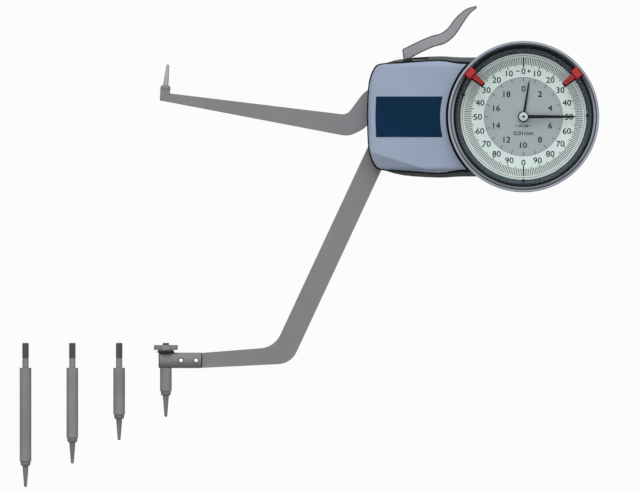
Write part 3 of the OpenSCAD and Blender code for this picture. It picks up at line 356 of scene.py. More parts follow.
@dataclass
class Piece:
    """One visible piece, gathered from parts of one or more finishes.

    Attributes:
        name: Name of the piece.
        body: Body that it rides on.
        slot: Material slot of the record.
        finishes: Finishes by number.
        mesh: What has been gathered so far.
    """

    name: str
    body: Body
    slot: str
    finishes: Sequence[Finish]
    mesh: Mesh = field(default_factory=bmesh.new)

    def add(self, part: Mesh, finish: int = 0) -> None:
        """Takes in a part and frees it.

        Args:
            part: Mesh in place, in metres.
            finish: Number of the part's finish.
        """
        for face in part.faces:
            face.material_index = finish
        store = bpy.data.meshes.new("part")
        part.to_mesh(store)
        part.free()
        self.mesh.from_mesh(store)
        bpy.data.meshes.remove(store)

    def make(self, *nodes: str, smooth: float = 35.0) -> None:
        """Makes the object, puts it on its body and hides the nodes that it stands for.

        Args:
            nodes: CAD nodes that this piece replaces.
            smooth: Largest angle, in degrees, that is shaded round.
        """
        for face in self.mesh.faces:
            face.smooth = True
        limit = math.radians(smooth)
        for edge in self.mesh.edges:
            edge.smooth = edge.smooth and edge.is_manifold and edge.calc_face_angle(0.0) < limit
        data = bpy.data.meshes.new(self.name)
        self.mesh.to_mesh(data)
        self.mesh.free()
        for finish in self.finishes:
            data.materials.append(finish.material())
        made = bpy.data.objects.new(self.name, data)
        bpy.context.scene.collection.objects.link(made)
        flat = made.modifiers.new("flat_faces", "WEIGHTED_NORMAL")
        flat.keep_sharp = True
        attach(made, self.body.value)
        if nodes:
            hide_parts(*nodes)
        LOG.info("%s on %s, %d faces", self.name, self.body.value, len(data.polygons))


def rounded(mesh: Mesh, edges: Sequence[Edge], width: float, segments: int = 2) -> Mesh:
    """Rounds some edges of a mesh.

    Args:
        mesh: Mesh to change.
        edges: Edges to round.
        width: Width of the rounding.
        segments: Steps of the rounding.

    Returns:
        The same mesh.
    """
    bmesh.ops.bevel(mesh, geom=edges, offset=width * MM, offset_type="OFFSET", affect="EDGES",
                    segments=segments, profile=0.5, material=-1, clamp_overlap=False)
    bmesh.ops.dissolve_degenerate(mesh, dist=EDGE_WELD, edges=mesh.edges[:])
    return mesh


def prism(outline: Sequence[Pair], low: float, high: float) -> Mesh:
    """Raises an outline of the plan between two heights.

    Args:
        outline: Corners, anticlockwise.
        low: Height of the underside.
        high: Height of the top.

    Returns:
        The closed shape.
    """
    mesh = bmesh.new()
    face = mesh.faces.new([mesh.verts.new((x * MM, y * MM, low * MM)) for x, y in outline])
    raised = bmesh.ops.extrude_face_region(mesh, geom=[face], use_keep_orig=True)["geom"]
    for item in raised:
        if isinstance(item, bmesh.types.BMVert):
            item.co.z = high * MM
    bmesh.ops.recalc_face_normals(mesh, faces=mesh.faces)
    return mesh


def copied(node: str) -> Mesh:
    """Copies a CAD node and clears its flat triangles.

    Args:
        node: Name of the CAD node.

    Returns:
        The copy, with its loose triangles joined.
    """
    mesh = bmesh.new()
    mesh.from_mesh(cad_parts[node].data)
    bmesh.ops.remove_doubles(mesh, verts=mesh.verts, dist=CAD_WELD)
    bmesh.ops.dissolve_limit(mesh, angle_limit=math.radians(FLAT_ANGLE), verts=mesh.verts,
                             edges=mesh.edges)
    return mesh


def skin(node: str) -> Mesh:
    """Copies a CAD node and rounds its sharp edges.

    Args:
        node: Name of the CAD node, with a row in the table of roundings.

    Returns:
        The rounded copy.
    """
    mesh = copied(node)
    width, segments, sharp = ROUNDING[node]
    limit = math.radians(sharp)
    edges = [e for e in mesh.edges if e.is_manifold and e.calc_face_angle(0.0) > limit]
    return rounded(mesh, edges, width, segments)


def lathe(profile: Sequence[Pair], steps: int, place: Optional[Matrix] = None,
          closed: bool = False) -> Mesh:
    """Turns a profile of radius and height about Z.

    Args:
        profile: Points.
        steps: Number of steps in a turn.
        place: Where the turned shape goes, in metres.
        closed: Whether the last point joins the first, as on a ring.

    Returns:
        The turned shape.
    """
    mesh = bmesh.new()
    verts = [mesh.verts.new((r * MM, 0.0, z * MM)) for r, z in profile]
    ends = verts[1:] + verts[:1] if closed else verts[1:]
    edges = [mesh.edges.new(pair) for pair in zip(verts, ends)]
    bmesh.ops.spin(mesh, geom=verts + edges, cent=(0, 0, 0), axis=(0, 0, 1), angle=2 * math.pi,
                   steps=steps, use_merge=True, use_duplicate=False)
    bmesh.ops.remove_doubles(mesh, verts=mesh.verts, dist=TURN_WELD)
    bmesh.ops.recalc_face_normals(mesh, faces=mesh.faces)
    mesh.transform(place or Matrix.Identity(4))
    return mesh


def bar(mesh: Mesh, angle: float, inner: float, outer: float, width: float, low: float,
        high: float) -> None:
    """Adds one radial bar, such as a line of a scale.

    Args:
        mesh: Mesh that takes the bar.
        angle: Degrees clockwise from the top of the dial.
        inner: Radius of its inner end.
        outer: Radius of its outer end.
        width: Its width.
        low: Height of its underside.
        high: Height of its face.
    """
    turn = Matrix.Rotation(-math.radians(angle), 4, "Z")
    shift = Matrix.Translation(Vector((0.0, inner + outer, low + high)) * MM / 2)
    size = Matrix.Diagonal((width * MM, (outer - inner) * MM, (high - low) * MM, 1.0))
    bmesh.ops.create_cube(mesh, size=1.0, matrix=turn @ shift @ size)


def lettering(words: str, height: float, centre: Pair, low: float, thick: float) -> Mesh:
    """Makes plain figures lying on the dial.

    A flattened bevel gives the strokes their weight, since a wider outline would close the 4.

    Args:
        words: What is printed.
        height: Height of a figure.
        centre: Middle of the words.
        low: Height of their underside.
        thick: Thickness of the print.

    Returns:
        The figures in place.
    """
    figure_share, weight = 0.729, 0.014  # of the letter size: a figure's height, a bevel's width
    wide = 1.08  # how much wider than usual the figures are
    curve = bpy.data.curves.new("figures", "FONT")
    curve.body = words
    curve.size = height / figure_share * MM
    curve.bevel_depth = weight * curve.size
    curve.bevel_resolution = 0
    curve.resolution_u = 3
    holder = bpy.data.objects.new("figures", curve)
    data = bpy.data.meshes.new_from_object(holder)
    flat = thick * MM / (2 * curve.bevel_depth)
    data.transform(Matrix.Diagonal((wide, 1.0, flat, 1.0)))
    ends = [v.co.x for v in data.vertices]
    shift = Vector((centre[0], centre[1] - height / 2, low + thick / 2)) * MM
    shift.x -= (min(ends) + max(ends)) / 2
    data.transform(Matrix.Translation(shift))
    mesh = bmesh.new()
    mesh.from_mesh(data)
    bpy.data.objects.remove(holder)
    bpy.data.curves.remove(curve)
    bpy.data.meshes.remove(data)
    return mesh


def cut_along(mesh: Mesh, start: Pair, end: Pair) -> tuple[list[Edge], Callable[[Vector], float]]:
    """Cuts a mesh along an upright plane through a line of the plan.

    Args:
        mesh: Mesh to cut.
        start: First point of the line.
        end: Second point of the line.

    Returns:
        The new edges, and how far a point lies to the line's right, in metres.
    """
    base, tip = (Vector((x, y, 0.0)) * MM for x, y in (start, end))
    across = (tip - base).cross(Vector((0, 0, 1))).normalized()
    geom = list(mesh.verts) + list(mesh.edges) + list(mesh.faces)
    cut = bmesh.ops.bisect_plane(mesh, geom=geom, dist=TURN_WELD, plane_co=base, plane_no=across)
    edges = [item for item in cut["geom_cut"] if isinstance(item, Edge)]
    return edges, lambda place: (place - base).dot(across)


def repaint(mesh: Mesh, finish: int, chosen: Callable[[float, float, float], bool]) -> None:
    """Gives another finish to some faces.

    Args:
        mesh: Mesh to change.
        finish: Number of the finish.
        chosen: Rule that takes a face's radius from the dial axis, its Y and its Z.
    """
    for face in mesh.faces:
        x, y, z = face.calc_center_median() / MM
        if chosen(math.hypot(x, y), y, z):
            face.material_index = finish


def dress(finish: Finish, *nodes: str) -> None:
    """Gives CAD nodes that keep their shape a finish.

    Args:
        finish: Finish of the nodes.
        nodes: Names of the CAD nodes.
    """
    for name in nodes:
        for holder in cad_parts[name].material_slots:
            holder.material = finish.material()
    LOG.info("%s: %s", finish.name, ", ".join(nodes))


@dataclass
class Housing:
    """Rear housing, front cover, gasket, label and dial case.

    Attributes:
        facet: Two points of the line where the cover's lower corner starts to slope.
        facet_slope: Fall of that slope for each millimetre.
        facet_top: Height above which the slope is cut.
        seat: Radius of the bezel's seat and height up to which the cover's faces inside it are
            painted black as shade.
    """

    facet: tuple[Pair, Pair] = ((-63.5, -15.5), (-45.5, -21.2))
    facet_slope: float = 0.36
    facet_top: float = 19.0
    seat: Pair = (33.05, 20.3)

    def build(self) -> None:
        """Builds the body's shell."""
        cover = Piece("painted_cover", Body.HOUSING, "blue_grey_paint",
                      [COVER_PAINT, BLACK_RUBBER_AND_SHADE])
        cover.add(self.sloped(skin("front_cover")))
        # Painted shade: the cover's faces in the gap round the bezel, below the seat height, get
        # the black finish.
        repaint(cover.mesh, 1, lambda r, y, z: r < self.seat[0] and z < self.seat[1])
        cover.make("front_cover")
        rear = Piece("painted_housing", Body.HOUSING, "dark_painted_casting", [REAR_PAINT])
        rear.add(skin("rear_housing"))
        rear.make("rear_housing")
        label = Piece("bare_label", Body.HOUSING, "navy_label", [LABEL_FILM])
        label.add(skin("label_plate"))
        label.make("label_plate")
        dress(BLACK_RUBBER_AND_SHADE, "cover_gasket")
        dress(REAR_PAINT, "dial_case")

    def sloped(self, mesh: Mesh) -> Mesh:
        """Lets the cover's lower far corner fall away along a straight crease.

        Args:
            mesh: Cover to change.

        Returns:
            The same mesh.
        """
        crease, beyond = cut_along(mesh, *self.facet)
        for edge in crease:
            edge.smooth = False
        for vert in mesh.verts:
            if vert.co.z > self.facet_top * MM:
                vert.co.z -= max(0.0, beyond(vert.co)) * self.facet_slope
        return mesh


@dataclass
class Dial:
    """Scale ring, inner dial and what is printed on them.

    Attributes:
        face: Height of the dial's face.
        ink: Thickness of the print.
        lines: Number of lines of the outer scale.
        scale_out: Radius where the lines of the outer scale start.
        scale_in: Radii where a short, a middle and a long line end.
        line: Width of a fine line.
        border: Radii of the fine circle round the scale.
        border_steps: Steps of that circle.
        figure_r: Radius of the outer figures.
        figure_h: Height of the figures.
        sign: Place, length and width of the signs beside zero.
        small_lines: Number of lines of the inner scale.
        small_r: Radius of the inner figures.
        small_scale: Radii of the inner scale's lines.
        small_line: Width of the inner scale's lines.
        note_h: Height of the scale value's figures.
        note_y: Place of the scale value below the dial axis.
        arrow_y: Place of the pair of arrows below the dial axis.
        strokes: Place, width and height of an arrow's shaft and of the stroke that it points at.
        point: Place and radius of an arrow's point.
    """

    face: float = 22.0
    ink: float = 0.03
    lines: int = 200
    scale_out: float = 25.3
    scale_in: tuple[float, float, float] = (22.2, 21.5, 21.0)
    line: float = 0.27
    border: Pair = (25.95, 26.1)
    border_steps: int = 128
    figure_r: float = 19.45
    figure_h: float = 2.55
    sign: tuple[float, float, float] = (2.35, 1.4, 0.45)
    small_lines: int = 20
    small_r: float = 12.0
    small_scale: Pair = (15.05, 16.5)
    small_line: float = 0.22
    note_h: float = 1.75
    note_y: float = -6.95
    arrow_y: float = -3.9
    strokes: Sequence[tuple[float, float, float]] = ((2.8, 2.0, 0.2), (0.42, 0.22, 1.1))
    point: Pair = (1.4, 0.65)

    def build(self) -> None:
        """Dresses the two dial parts and prints them."""
        dress(DIAL_MINT, "scale_ring")
        dress(DIAL_GREY, "inner_dial")
        low, top = self.face, self.face + self.ink
        outer = Piece("outer_scale_print", Body.BEZEL, "mint_dial", [DIAL_INK])
        outer.add(self.outer_lines())
        start, stop = self.border
        circle = [(start, low), (stop, low), (stop, top), (start, top)]
        outer.add(lathe(circle, self.border_steps, closed=True))
        for words, place in self.outer_figures():
            outer.add(lettering(words, self.figure_h, place, low, self.ink))
        outer.make()
        inner = Piece("inner_scale_print", Body.HOUSING, "grey_dial", [DIAL_INK])
        inner.add(self.inner_lines())
        for i in range(0, self.small_lines, 2):
            place = self.around(self.small_r, 360 / self.small_lines * i)
            inner.add(lettering(str(i), self.figure_h, place, low, self.ink))
        inner.add(lettering("0,01mm", self.note_h, (0.0, self.note_y), low, self.ink))
        inner.make()

    @staticmethod
    def around(radius: float, angle: float) -> Pair:
        """Finds X and Y of a place on the dial from its radius and its degrees from the top."""
        turn = math.radians(angle)
        return radius * math.sin(turn), radius * math.cos(turn)

    def stroke(self, mesh: Mesh, x: float, y: float, wide: float, tall: float) -> None:
        """Prints one straight stroke.

        Args:
            mesh: Mesh that takes the stroke.
            x: Its middle along X.
            y: Its middle along Y.
            wide: Its size along X.
            tall: Its size along Y.
        """
        place = Matrix.Translation(Vector((x, y, self.face + self.ink / 2)) * MM)
        size = Matrix.Diagonal((wide * MM, tall * MM, self.ink * MM, 1.0))
        bmesh.ops.create_cube(mesh, size=1.0, matrix=place @ size)

    def outer_lines(self) -> Mesh:
        """Draws the outer scale's lines and the signs beside zero.

        Returns:
            The lines and signs in place.
        """
        mesh = bmesh.new()
        for i in range(self.lines):
            long = 2 if i % 10 == 0 else 1 if i % 5 == 0 else 0
            width = 2 * self.line if i % (self.lines // 2) == 0 else self.line
            bar(mesh, 360 / self.lines * i, self.scale_in[long], self.scale_out, width, self.face,
                self.face + self.ink)
        away, length, width = self.sign
        self.stroke(mesh, -away, self.figure_r, length, width)
        self.stroke(mesh, away, self.figure_r, length, width)
        self.stroke(mesh, away, self.figure_r, width, length)
        return mesh

    def outer_figures(self) -> list[tuple[str, Pair]]:
        """Lists the outer figures, which count up from zero on both sides.

        Returns:
            Each figure with its place.
        """
        half = self.lines // 2
        rows = [("0", 0.0), ("0", 180.0)]
        rows += [(str(i), side * 180.0 * i / half) for i in range(10, half, 10) for side in (-1, 1)]
        return [(words, self.around(self.figure_r, angle)) for words, angle in rows]

    def inner_lines(self) -> Mesh:
        """Draws the inner scale's lines and the two facing arrows.

        Returns:
            The lines and arrows in place.
        """
        mesh = bmesh.new()
        for i in range(self.small_lines):
            bar(mesh, 360 / self.small_lines * i, *self.small_scale, self.small_line, self.face,
                self.face + self.ink)
        away, radius = self.point
        for side in (-1, 1):
            for x, wide, tall in self.strokes:
                self.stroke(mesh, side * x, self.arrow_y, wide, tall)
            middle = Vector((side * away, self.arrow_y, self.face + self.ink / 2)) * MM
            turn = Matrix.Rotation(side * math.pi / 2, 4, "Z")
            bmesh.ops.create_cone(mesh, cap_ends=True, segments=3, radius1=radius * MM,
                                  radius2=radius * MM, depth=self.ink * MM,
                                  matrix=Matrix.Translation(middle) @ turn)
        return mesh


@dataclass
class Bezel:
    """Turning bezel, black ring and crystal.

    Attributes:
        steps: Steps of the turned shapes.
        metal: Section of the metal ring as radius and height.
        slope: Section of the black ring.
        seal: Section of the seal between the glass and the metal.
        groove: Inner and outer radius and underside of the groove that the markers run in, painted
            a darker grey as shade.
        painted_shade_r: Radius up to which the foot of the black ring's slope is painted dead black
            as shade.
        notches: Angles of the small notches in the black ring, clockwise from the top.
        notch: Inner and outer radius, width, underside and top of a notch.
        smooth: Largest angle, in degrees, that is shaded round.
    """

    steps: int = 160
    metal: Sequence[Pair] = (
        (30.25, 16.8), (32.0, 16.8), (32.24, 17.05), (32.24, 27.42), (32.21, 27.6), (32.12, 27.76),
        (31.98, 27.86), (31.82, 27.9), (31.34, 27.9), (31.28, 27.87), (31.25, 27.8), (31.23, 27.32),
        (30.77, 27.32), (30.76, 27.78), (30.72, 27.86), (30.64, 27.85), (29.47, 27.0),
        (29.38, 26.92), (29.35, 26.82), (29.35, 21.2), (28.6, 21.2), (28.6, 20.85), (30.25, 20.85),
        (30.25, 19.5), (30.75, 19.5), (30.75, 18.5), (30.25, 18.5))
    slope: Sequence[Pair] = (
        (26.9, 22.0), (29.32, 22.0), (29.32, 25.3), (28.5, 25.3), (28.3, 25.2), (28.2, 25.0),
        (27.25, 23.07), (27.0, 22.55), (26.9, 22.4))
    seal: Sequence[Pair] = (
        (28.95, 26.81), (29.34, 26.81), (29.36, 26.93), (29.84, 27.27), (29.78, 27.36),
        (29.3, 27.1))
    groove: tuple[float, float, float] = (30.74, 31.27, 27.2)
    painted_shade_r: float = 27.15
    notches: Sequence[float] = (88.8, 180.0, 290.0)
    notch: tuple[float, float, float, float, float] = (26.6, 27.9, 0.9, 22.03, 23.9)
    smooth: float = 40.0

    def build(self) -> None:
        """Builds the ring, the black slope and the glass."""
        metal = Piece("anodised_bezel", Body.BEZEL, "bezel_aluminium",
                      [BEZEL_ANODISE, GROOVE_SHADE])
        metal.add(lathe(self.metal, self.steps, closed=True))
        start, stop, low = self.groove
        # Painted shade: the groove's faces get a darker grey than the ring.
        repaint(metal.mesh, 1, lambda r, y, z: start < r < stop and z > low)
        metal.make("bezel_ring", smooth=self.smooth)
        ring = Piece("black_slope_ring", Body.BEZEL, "black_plastic", [RING_PLASTIC, BLACK_RUBBER_AND_SHADE])
        ring.add(lathe(self.slope, self.steps, closed=True))
        # Painted shade: the foot of the slope inside that radius is dead black.
        repaint(ring.mesh, 1, lambda r, y, z: r < self.painted_shade_r)
        ring.add(lathe(self.seal, self.steps, closed=True), 1)
        marks = bmesh.new()
        for angle in self.notches:
            bar(marks, angle, *self.notch)
        ring.add(marks, 1)
        ring.make("black_ring", smooth=self.smooth)
        dress(CRYSTAL, "crystal")
        dress(SPRING_STEEL, "bezel_spring")


@dataclass
class Hands:
    """Main pointer, small pointer and the cap over their hub.

    Attributes:
        cap: Section of the cap.
        dot: Section of the dark dot in its middle.
        steps: Steps of the cap and of the dot.
    """

    cap: Sequence[Pair] = (
        (0.0, 24.1), (1.9, 24.1), (1.9, 24.45), (1.75, 24.62), (1.4, 24.7), (0.55, 24.7),
        (0.5, 24.6), (0.0, 24.6))
    dot: Sequence[Pair] = ((0.0, 24.58), (0.5, 24.58), (0.5, 24.63), (0.0, 24.66))
    steps: tuple[int, int] = (48, 24)

    def build(self) -> None:
        """Builds both pointers and the cap."""
        for node, body in (("main_pointer", Body.MAIN_HAND), ("small_pointer", Body.SMALL_HAND)):
            hand = Piece("lacquered_" + node, body, "black_hands", [HAND_LACQUER])
            hand.add(skin(node))
            hand.make(node)
        cap = Piece("hub_cap", Body.MAIN_HAND, "grey_cap", [CAP_PLASTIC, DIAL_INK])
        cap.add(lathe(self.cap, self.steps[0]))
        cap.add(lathe(self.dot, self.steps[1]), 1)
        cap.make("pointer_cap")


@dataclass
class Markers:
    """Two red tolerance markers on the bezel.

    Attributes:
        angle: Angle of each marker from the top of the dial.
        head: Corners of the head, as seen with the marker at the top.
        tongue: Corners of the tongue.
        foot: Corners of the foot in the groove.
        shadow_pad: Corners of the black sheet under the tongue, which shows on its lower side as
            painted shadow.
        heights: Underside and top of the head, the tongue, the foot and the black sheet.
        rounding: Rounding of the head and of the tongue.
        segments: Steps of that rounding.
        ribs: Places across the tongue of its ribs.
        rib: Lower and upper end, width, underside and top of a rib.
        flat: Least rise of a face's normal that keeps the bright red rather than the painted shade.
        shaded: Most that an edge can face up the dial and still be painted deep red as shade.
    """

    angle: float = 51.0
    head: Sequence[Pair] = ((-2.35, 27.3), (2.35, 27.3), (2.35, 31.2), (-2.35, 31.2))
    tongue: Sequence[Pair] = (
        (-0.94, 22.0), (0.94, 22.0), (1.34, 27.3), (1.34, 28.3), (-1.34, 28.3), (-1.34, 27.3))
    foot: Sequence[Pair] = ((-1.8, 30.82), (1.8, 30.82), (1.8, 31.16), (-1.8, 31.16))
    shadow_pad: Sequence[Pair] = ((-1.45, 21.5), (0.7, 21.6), (1.0, 27.2), (-1.75, 27.2))
    heights: Sequence[Pair] = ((28.0, 29.3), (26.95, 28.6), (27.35, 28.1), (26.83, 26.96))
    rounding: Pair = (0.95, 0.45)
    segments: int = 5
    ribs: Sequence[float] = (-0.28, 0.28)
    rib: tuple[float, float, float, float, float] = (22.7, 27.1, 0.2, 28.5, 28.65)
    flat: float = 0.9
    shaded: float = 0.75

    def build(self) -> None:
        """Builds both markers."""
        start, stop, wide, low, high = self.rib
        for side, body, sign in (("left", Body.LEFT_MARKER, 1), ("right", Body.RIGHT_MARKER, -1)):
            marker = Piece(f"red_marker_{side}", body, "red_markers",
                           [MARKER_RED, MARKER_SHADE, MARKER_SHADOW_SHEET])
            marker.add(self.moulded(self.head, self.heights[0], self.rounding[0]))
            marker.add(self.moulded(self.tongue, self.heights[1], self.rounding[1]))
            marker.add(prism(self.foot, *self.heights[2]))
            # Painted shadow: the black sheet shows past the tongue's lower side and tip.
            marker.add(prism(self.lower(sign), *self.heights[3]), 2)
            # Painted shade: the ribs get the deep red of the shaded edges.
            for x in self.ribs:
                near, far = x - wide / 2, x + wide / 2
                edge = ((near, start), (far, start), (far, stop), (near, stop))
                marker.add(prism(edge, low, high), 1)
            marker.mesh.transform(Matrix.Rotation(sign * math.radians(self.angle), 4, "Z"))
            marker.mesh.normal_update()
            # Painted shade: faces that turn down and away from the light up the dial get the deep
            # red.
            for face in marker.mesh.faces:
                out = face.normal.to_2d()
                turned = face.normal.z < self.flat and out.y < self.shaded * out.length
                if turned and face.material_index == 0:
                    face.material_index = 1
            marker.make(f"marker_{side}")

    def moulded(self, outline: Sequence[Pair], heights: Pair, width: float) -> Mesh:
        """Raises an outline and rounds its top and its upright edges.

        Args:
            outline: Corners, anticlockwise.
            heights: Underside and top.
            width: Width of the rounding.

        Returns:
            The rounded shape.
        """
        mesh = prism(outline, *heights)
        edges = [e for e in mesh.edges if max(v.co.z for v in e.verts) > sum(heights) / 2 * MM]
        return rounded(mesh, edges, width, self.segments)

    def lower(self, sign: int) -> list[Pair]:
        """Turns the black sheet of painted shadow to the lower side: one for the left marker, minus
        one for the right.
        """
        return [(sign * x, y) for x, y in self.shadow_pad][::sign]


@dataclass
class Arms:
    """Both arms, the lever and the anvil holder.

    Attributes:
        holder_rounding: Rounding of the holder's end rims.
        blade_edge: Two points of the lever's lower edge, below which its stem is painted dark as
            shade.
        flat: Least rise of a face's normal that keeps the lever's light grey rather than the
            painted shade of its edges.
        lean: Least and most lean along X of a face on the holder's end rims, which are painted dark
            as shade.
        holes: Places along X of the two cross holes of the holder.
        hole_y: Place along Y of those holes.
        rim: Section of the dark ring in each hole, painted as the shade of its chamfer.
        rim_steps: Steps of an eyelet.
    """

    holder_rounding: float = 0.35
    blade_edge: tuple[Pair, Pair] = ((-50.95, 23.57), (-46.6, 25.85))
    flat: float = 0.985
    lean: Pair = (0.3, 0.97)
    holes: tuple[float, float] = (-139.6, -146.04)
    hole_y: float = -103.9
    rim: Sequence[Pair] = (
        (0.81, 11.0), (1.14, 11.0), (1.14, 11.28), (1.1, 11.33), (0.9, 11.34), (0.81, 11.26))
    rim_steps: int = 32

    def build(self) -> None:
        """Builds the arms, the holder and the lever."""
        for node, body, name in (("moving_arm", Body.UPPER_ARM, "satin_upper_arm"),
                                 ("fixed_arm", Body.HOUSING, "satin_lower_arm")):
            arm = Piece(name, body, "satin_arm_steel", [ARM_STEEL])
            arm.add(skin(node))
            arm.make(node)
        self.holder()
        self.lever()

    def holder(self) -> None:
        """Builds the anvil holder with painted shade on its end rims and a dark ring of painted
        shade in each cross hole.
        """
        holder = Piece("satin_holder", Body.HOUSING, "satin_arm_steel", [ARM_STEEL, BLACK_OXIDE_AND_SHADE])
        mesh = copied("anvil_holder")
        ends = [pick(v.co.x for v in mesh.verts) for pick in (min, max)]
        rims = [e for e in mesh.edges
                if any(all(abs(v.co.x - x) < EDGE_WELD for v in e.verts) for x in ends)]
        holder.add(rounded(mesh, rims, self.holder_rounding))
        # Painted shade: faces on the end rims that lean along X get the dark finish.
        for face in holder.mesh.faces:
            face.material_index = int(self.lean[0] < abs(face.normal.x) < self.lean[1])
        # Painted shade: a dark ring in each cross hole stands for the shade of its chamfer.
        for x in self.holes:
            place = Matrix.Translation(Vector((x, self.hole_y, 0.0)) * MM)
            holder.add(lathe(self.rim, self.rim_steps, place, closed=True), 1)
        holder.make("anvil_holder")

    def lever(self) -> None:
        """Builds the lever: light faces, with painted shade on its edges and on its stem."""
        lever = Piece("curved_lever", Body.LEVER, "light_grey_lever",
                      [LEVER_ALLOY, LEVER_STEM_SHADE, LEVER_EDGE_SHADE])
        lever.add(skin("thumb_lever"))
        below = cut_along(lever.mesh, *self.blade_edge)[1]
        # Painted shade: the stem below the blade's edge and the edge faces that turn away from the
        # top get the dark finishes.
        for face in lever.mesh.faces:
            middle = face.calc_center_median()
            if below(middle) > 0 and middle.x < self.blade_edge[1][0] * MM:
                face.material_index = 1
            elif face.normal.z < self.flat:
                face.material_index = 2
        lever.make("thumb_lever")


@dataclass
class AnvilSet:
    """Mounted anvil, the loose longer ones, their contacts and the thumb nut.

    Attributes:
        shoulder: Place along Y of the anvils' shoulder.
        shank_l: Length of the shank.
        thread_l: Length of its thread.
        pitch: Pitch of the thread.
        thread_steps: Steps in one turn of the thread.
        run_in: How far above the thread's root its crest starts.
        run_out: Length of the thread that has no crest.
        crest: Section of the crest from its start.
        shank_end: Section of the shank's end, as radius and height from that end.
        thread_root: Section below the thread, from its root.
        shoulder_edge: Section of the shoulder, from the shoulder.
        foot_edge: Section of the lower end, from the lower face.
        stem_steps: Steps of the turned stem.
        upper_collar: Place along Y of the upper contact's collar end.
        rows: Body, both nodes, axis X, axis Z and body length of each anvil.
    """

    shoulder: float = -107.1
    shank_l: float = 10.65
    thread_l: float = 6.6
    pitch: float = 0.4
    thread_steps: int = 16
    run_in: float = 0.05
    run_out: float = 0.5
    crest: Sequence[Pair] = ((1.25, 0.0), (1.25, 0.36), (1.5, 0.22), (1.5, 0.14))
    shank_end: Sequence[Pair] = ((0.0, 0.0), (1.1, 0.0), (1.28, -0.15))
    thread_root: Sequence[Pair] = ((1.28, 0.0), (1.34, -0.1))
    shoulder_edge: Sequence[Pair] = ((1.34, 0.0), (2.3, 0.0), (2.44, -0.06), (2.5, -0.2))
    foot_edge: Sequence[Pair] = ((2.5, 0.2), (2.44, 0.06), (2.3, 0.0), (0.0, 0.0))
    stem_steps: int = 48
    upper_collar: float = 13.3
    rows: Sequence[tuple[Body, str, str, float, float, float]] = (
        (Body.ANVIL, "anvil", "anvil_tip", -152.5, 8.0, 10.0),
        (Body.SPARE_20, "spare_anvil_20", "spare_tip_20", -172.5, 2.5, 20.0),
        (Body.SPARE_30, "spare_anvil_30", "spare_tip_30", -192.5, 2.5, 30.0),
        (Body.SPARE_40, "spare_anvil_40", "spare_tip_40", -212.5, 2.5, 40.0))

    def build(self) -> None:
        """Builds each anvil with its contact, then the nut."""
        for body, node, tip, x, z, length in self.rows:
            place = Matrix.Translation(Vector((x, self.shoulder, z)) * MM)
            place @= Matrix.Rotation(-math.pi / 2, 4, "X")
            anvil = Piece("ground_" + node, body, "ground_anvil_steel", [ANVIL_STEEL, THREAD_STEEL])
            anvil.add(lathe(self.stem(length), self.stem_steps, place))
            root = self.shoulder + self.shank_l - self.thread_l
            repaint(anvil.mesh, 1, lambda r, y, z: y > root)
            anvil.add(self.thread(place), 1)
            anvil.make(node)
            contact = Piece("lapped_" + tip, body, "contact_carbide", [CONTACT_METAL])
            contact.add(skin(tip))
            contact.make(tip)
        upper = Piece("polished_upper_contact", Body.UPPER_ARM, "contact_carbide",
                      [POLISHED_METAL, ANVIL_STEEL])
        upper.add(skin("upper_contact"))
        repaint(upper.mesh, 1, lambda r, y, z: y < self.upper_collar)
        upper.make("upper_contact")
        nut = Piece("lobed_nut", Body.NUT, "blackened_nut", [NUT_OXIDE])
        nut.add(skin("thumb_nut"))
        nut.make("thumb_nut")
        dress(BLACK_OXIDE_AND_SHADE, "nut_washer")

    def stem(self, length: float) -> list[Pair]:
        """Joins the section of an anvil.

        Args:
            length: Length of the anvil's body.

        Returns:
            Radius and height of each point, from the shank's end down.
        """
        root = self.shank_l - self.thread_l
        sections = ((self.shank_end, self.shank_l), (self.thread_root, root),
                    (self.shoulder_edge, 0.0), (self.foot_edge, -length))
        return [(radius, base + rise) for section, base in sections for radius, rise in section]

    def thread(self, place: Matrix) -> Mesh:
        """Winds the crest of the thread round the shank.

        Args:
            place: Where the anvil stands, in metres.

        Returns:
            The crest as a closed shape.
        """
        turns = int((self.thread_l - self.run_out) / self.pitch)
        low = self.shank_l - self.thread_l + self.run_in
        climb = self.pitch / self.thread_steps * MM
        mesh = bmesh.new()
        face = mesh.faces.new(
            [mesh.verts.new((radius * MM, 0.0, (low + rise) * MM)) for radius, rise in self.crest])
        bmesh.ops.spin(mesh, geom=[face], cent=(0, 0, 0), axis=(0, 0, 1), dvec=(0, 0, climb),
                       angle=2 * math.pi * turns, steps=self.thread_steps * turns, use_merge=False,
                       use_duplicate=False)
        bmesh.ops.recalc_face_normals(mesh, faces=mesh.faces)
        mesh.transform(place)
        return mesh


@dataclass
class Movement:
    """What is inside the case and the screws: they keep their CAD shape and get real metals.

    Attributes:
        plates: Nickel-plated nodes.
        wheels: Brass nodes.
        shafts: Nodes of bright steel.
        screws: Plated screws.
    """

    plates: Sequence[str] = ("base_plate", "top_plate")
    wheels: Sequence[str] = (
        "movement_pillars", "movement_bushes", "hairspring_stud", "pivot_bush_rear",
        "pivot_bush_front", "sector_gear", "train_pinion", "train_wheel", "transfer_wheel",
        "hairspring_collet", "centre_pinion", "small_hand_wheel")
    shafts: Sequence[str] = (
        "hairspring", "return_spring", "pivot_shaft", "spring_pin", "spring_post", "stop_pin",
        "train_arbor", "centre_arbor")
    screws: Sequence[str] = (
        "housing_screws", "case_screws", "bridge_screws", "fixed_arm_screws", "sector_screws")

    def build(self) -> None:
        """Dresses the wheels, shafts, springs and screws."""
        dress(PLATE_NICKEL, *self.plates)
        dress(BRASS, *self.wheels)
        dress(SPRING_STEEL, *self.shafts)
        dress(SCREW_STEEL, *self.screws)
        dress(BLACK_OXIDE_AND_SHADE, "lever_pin")


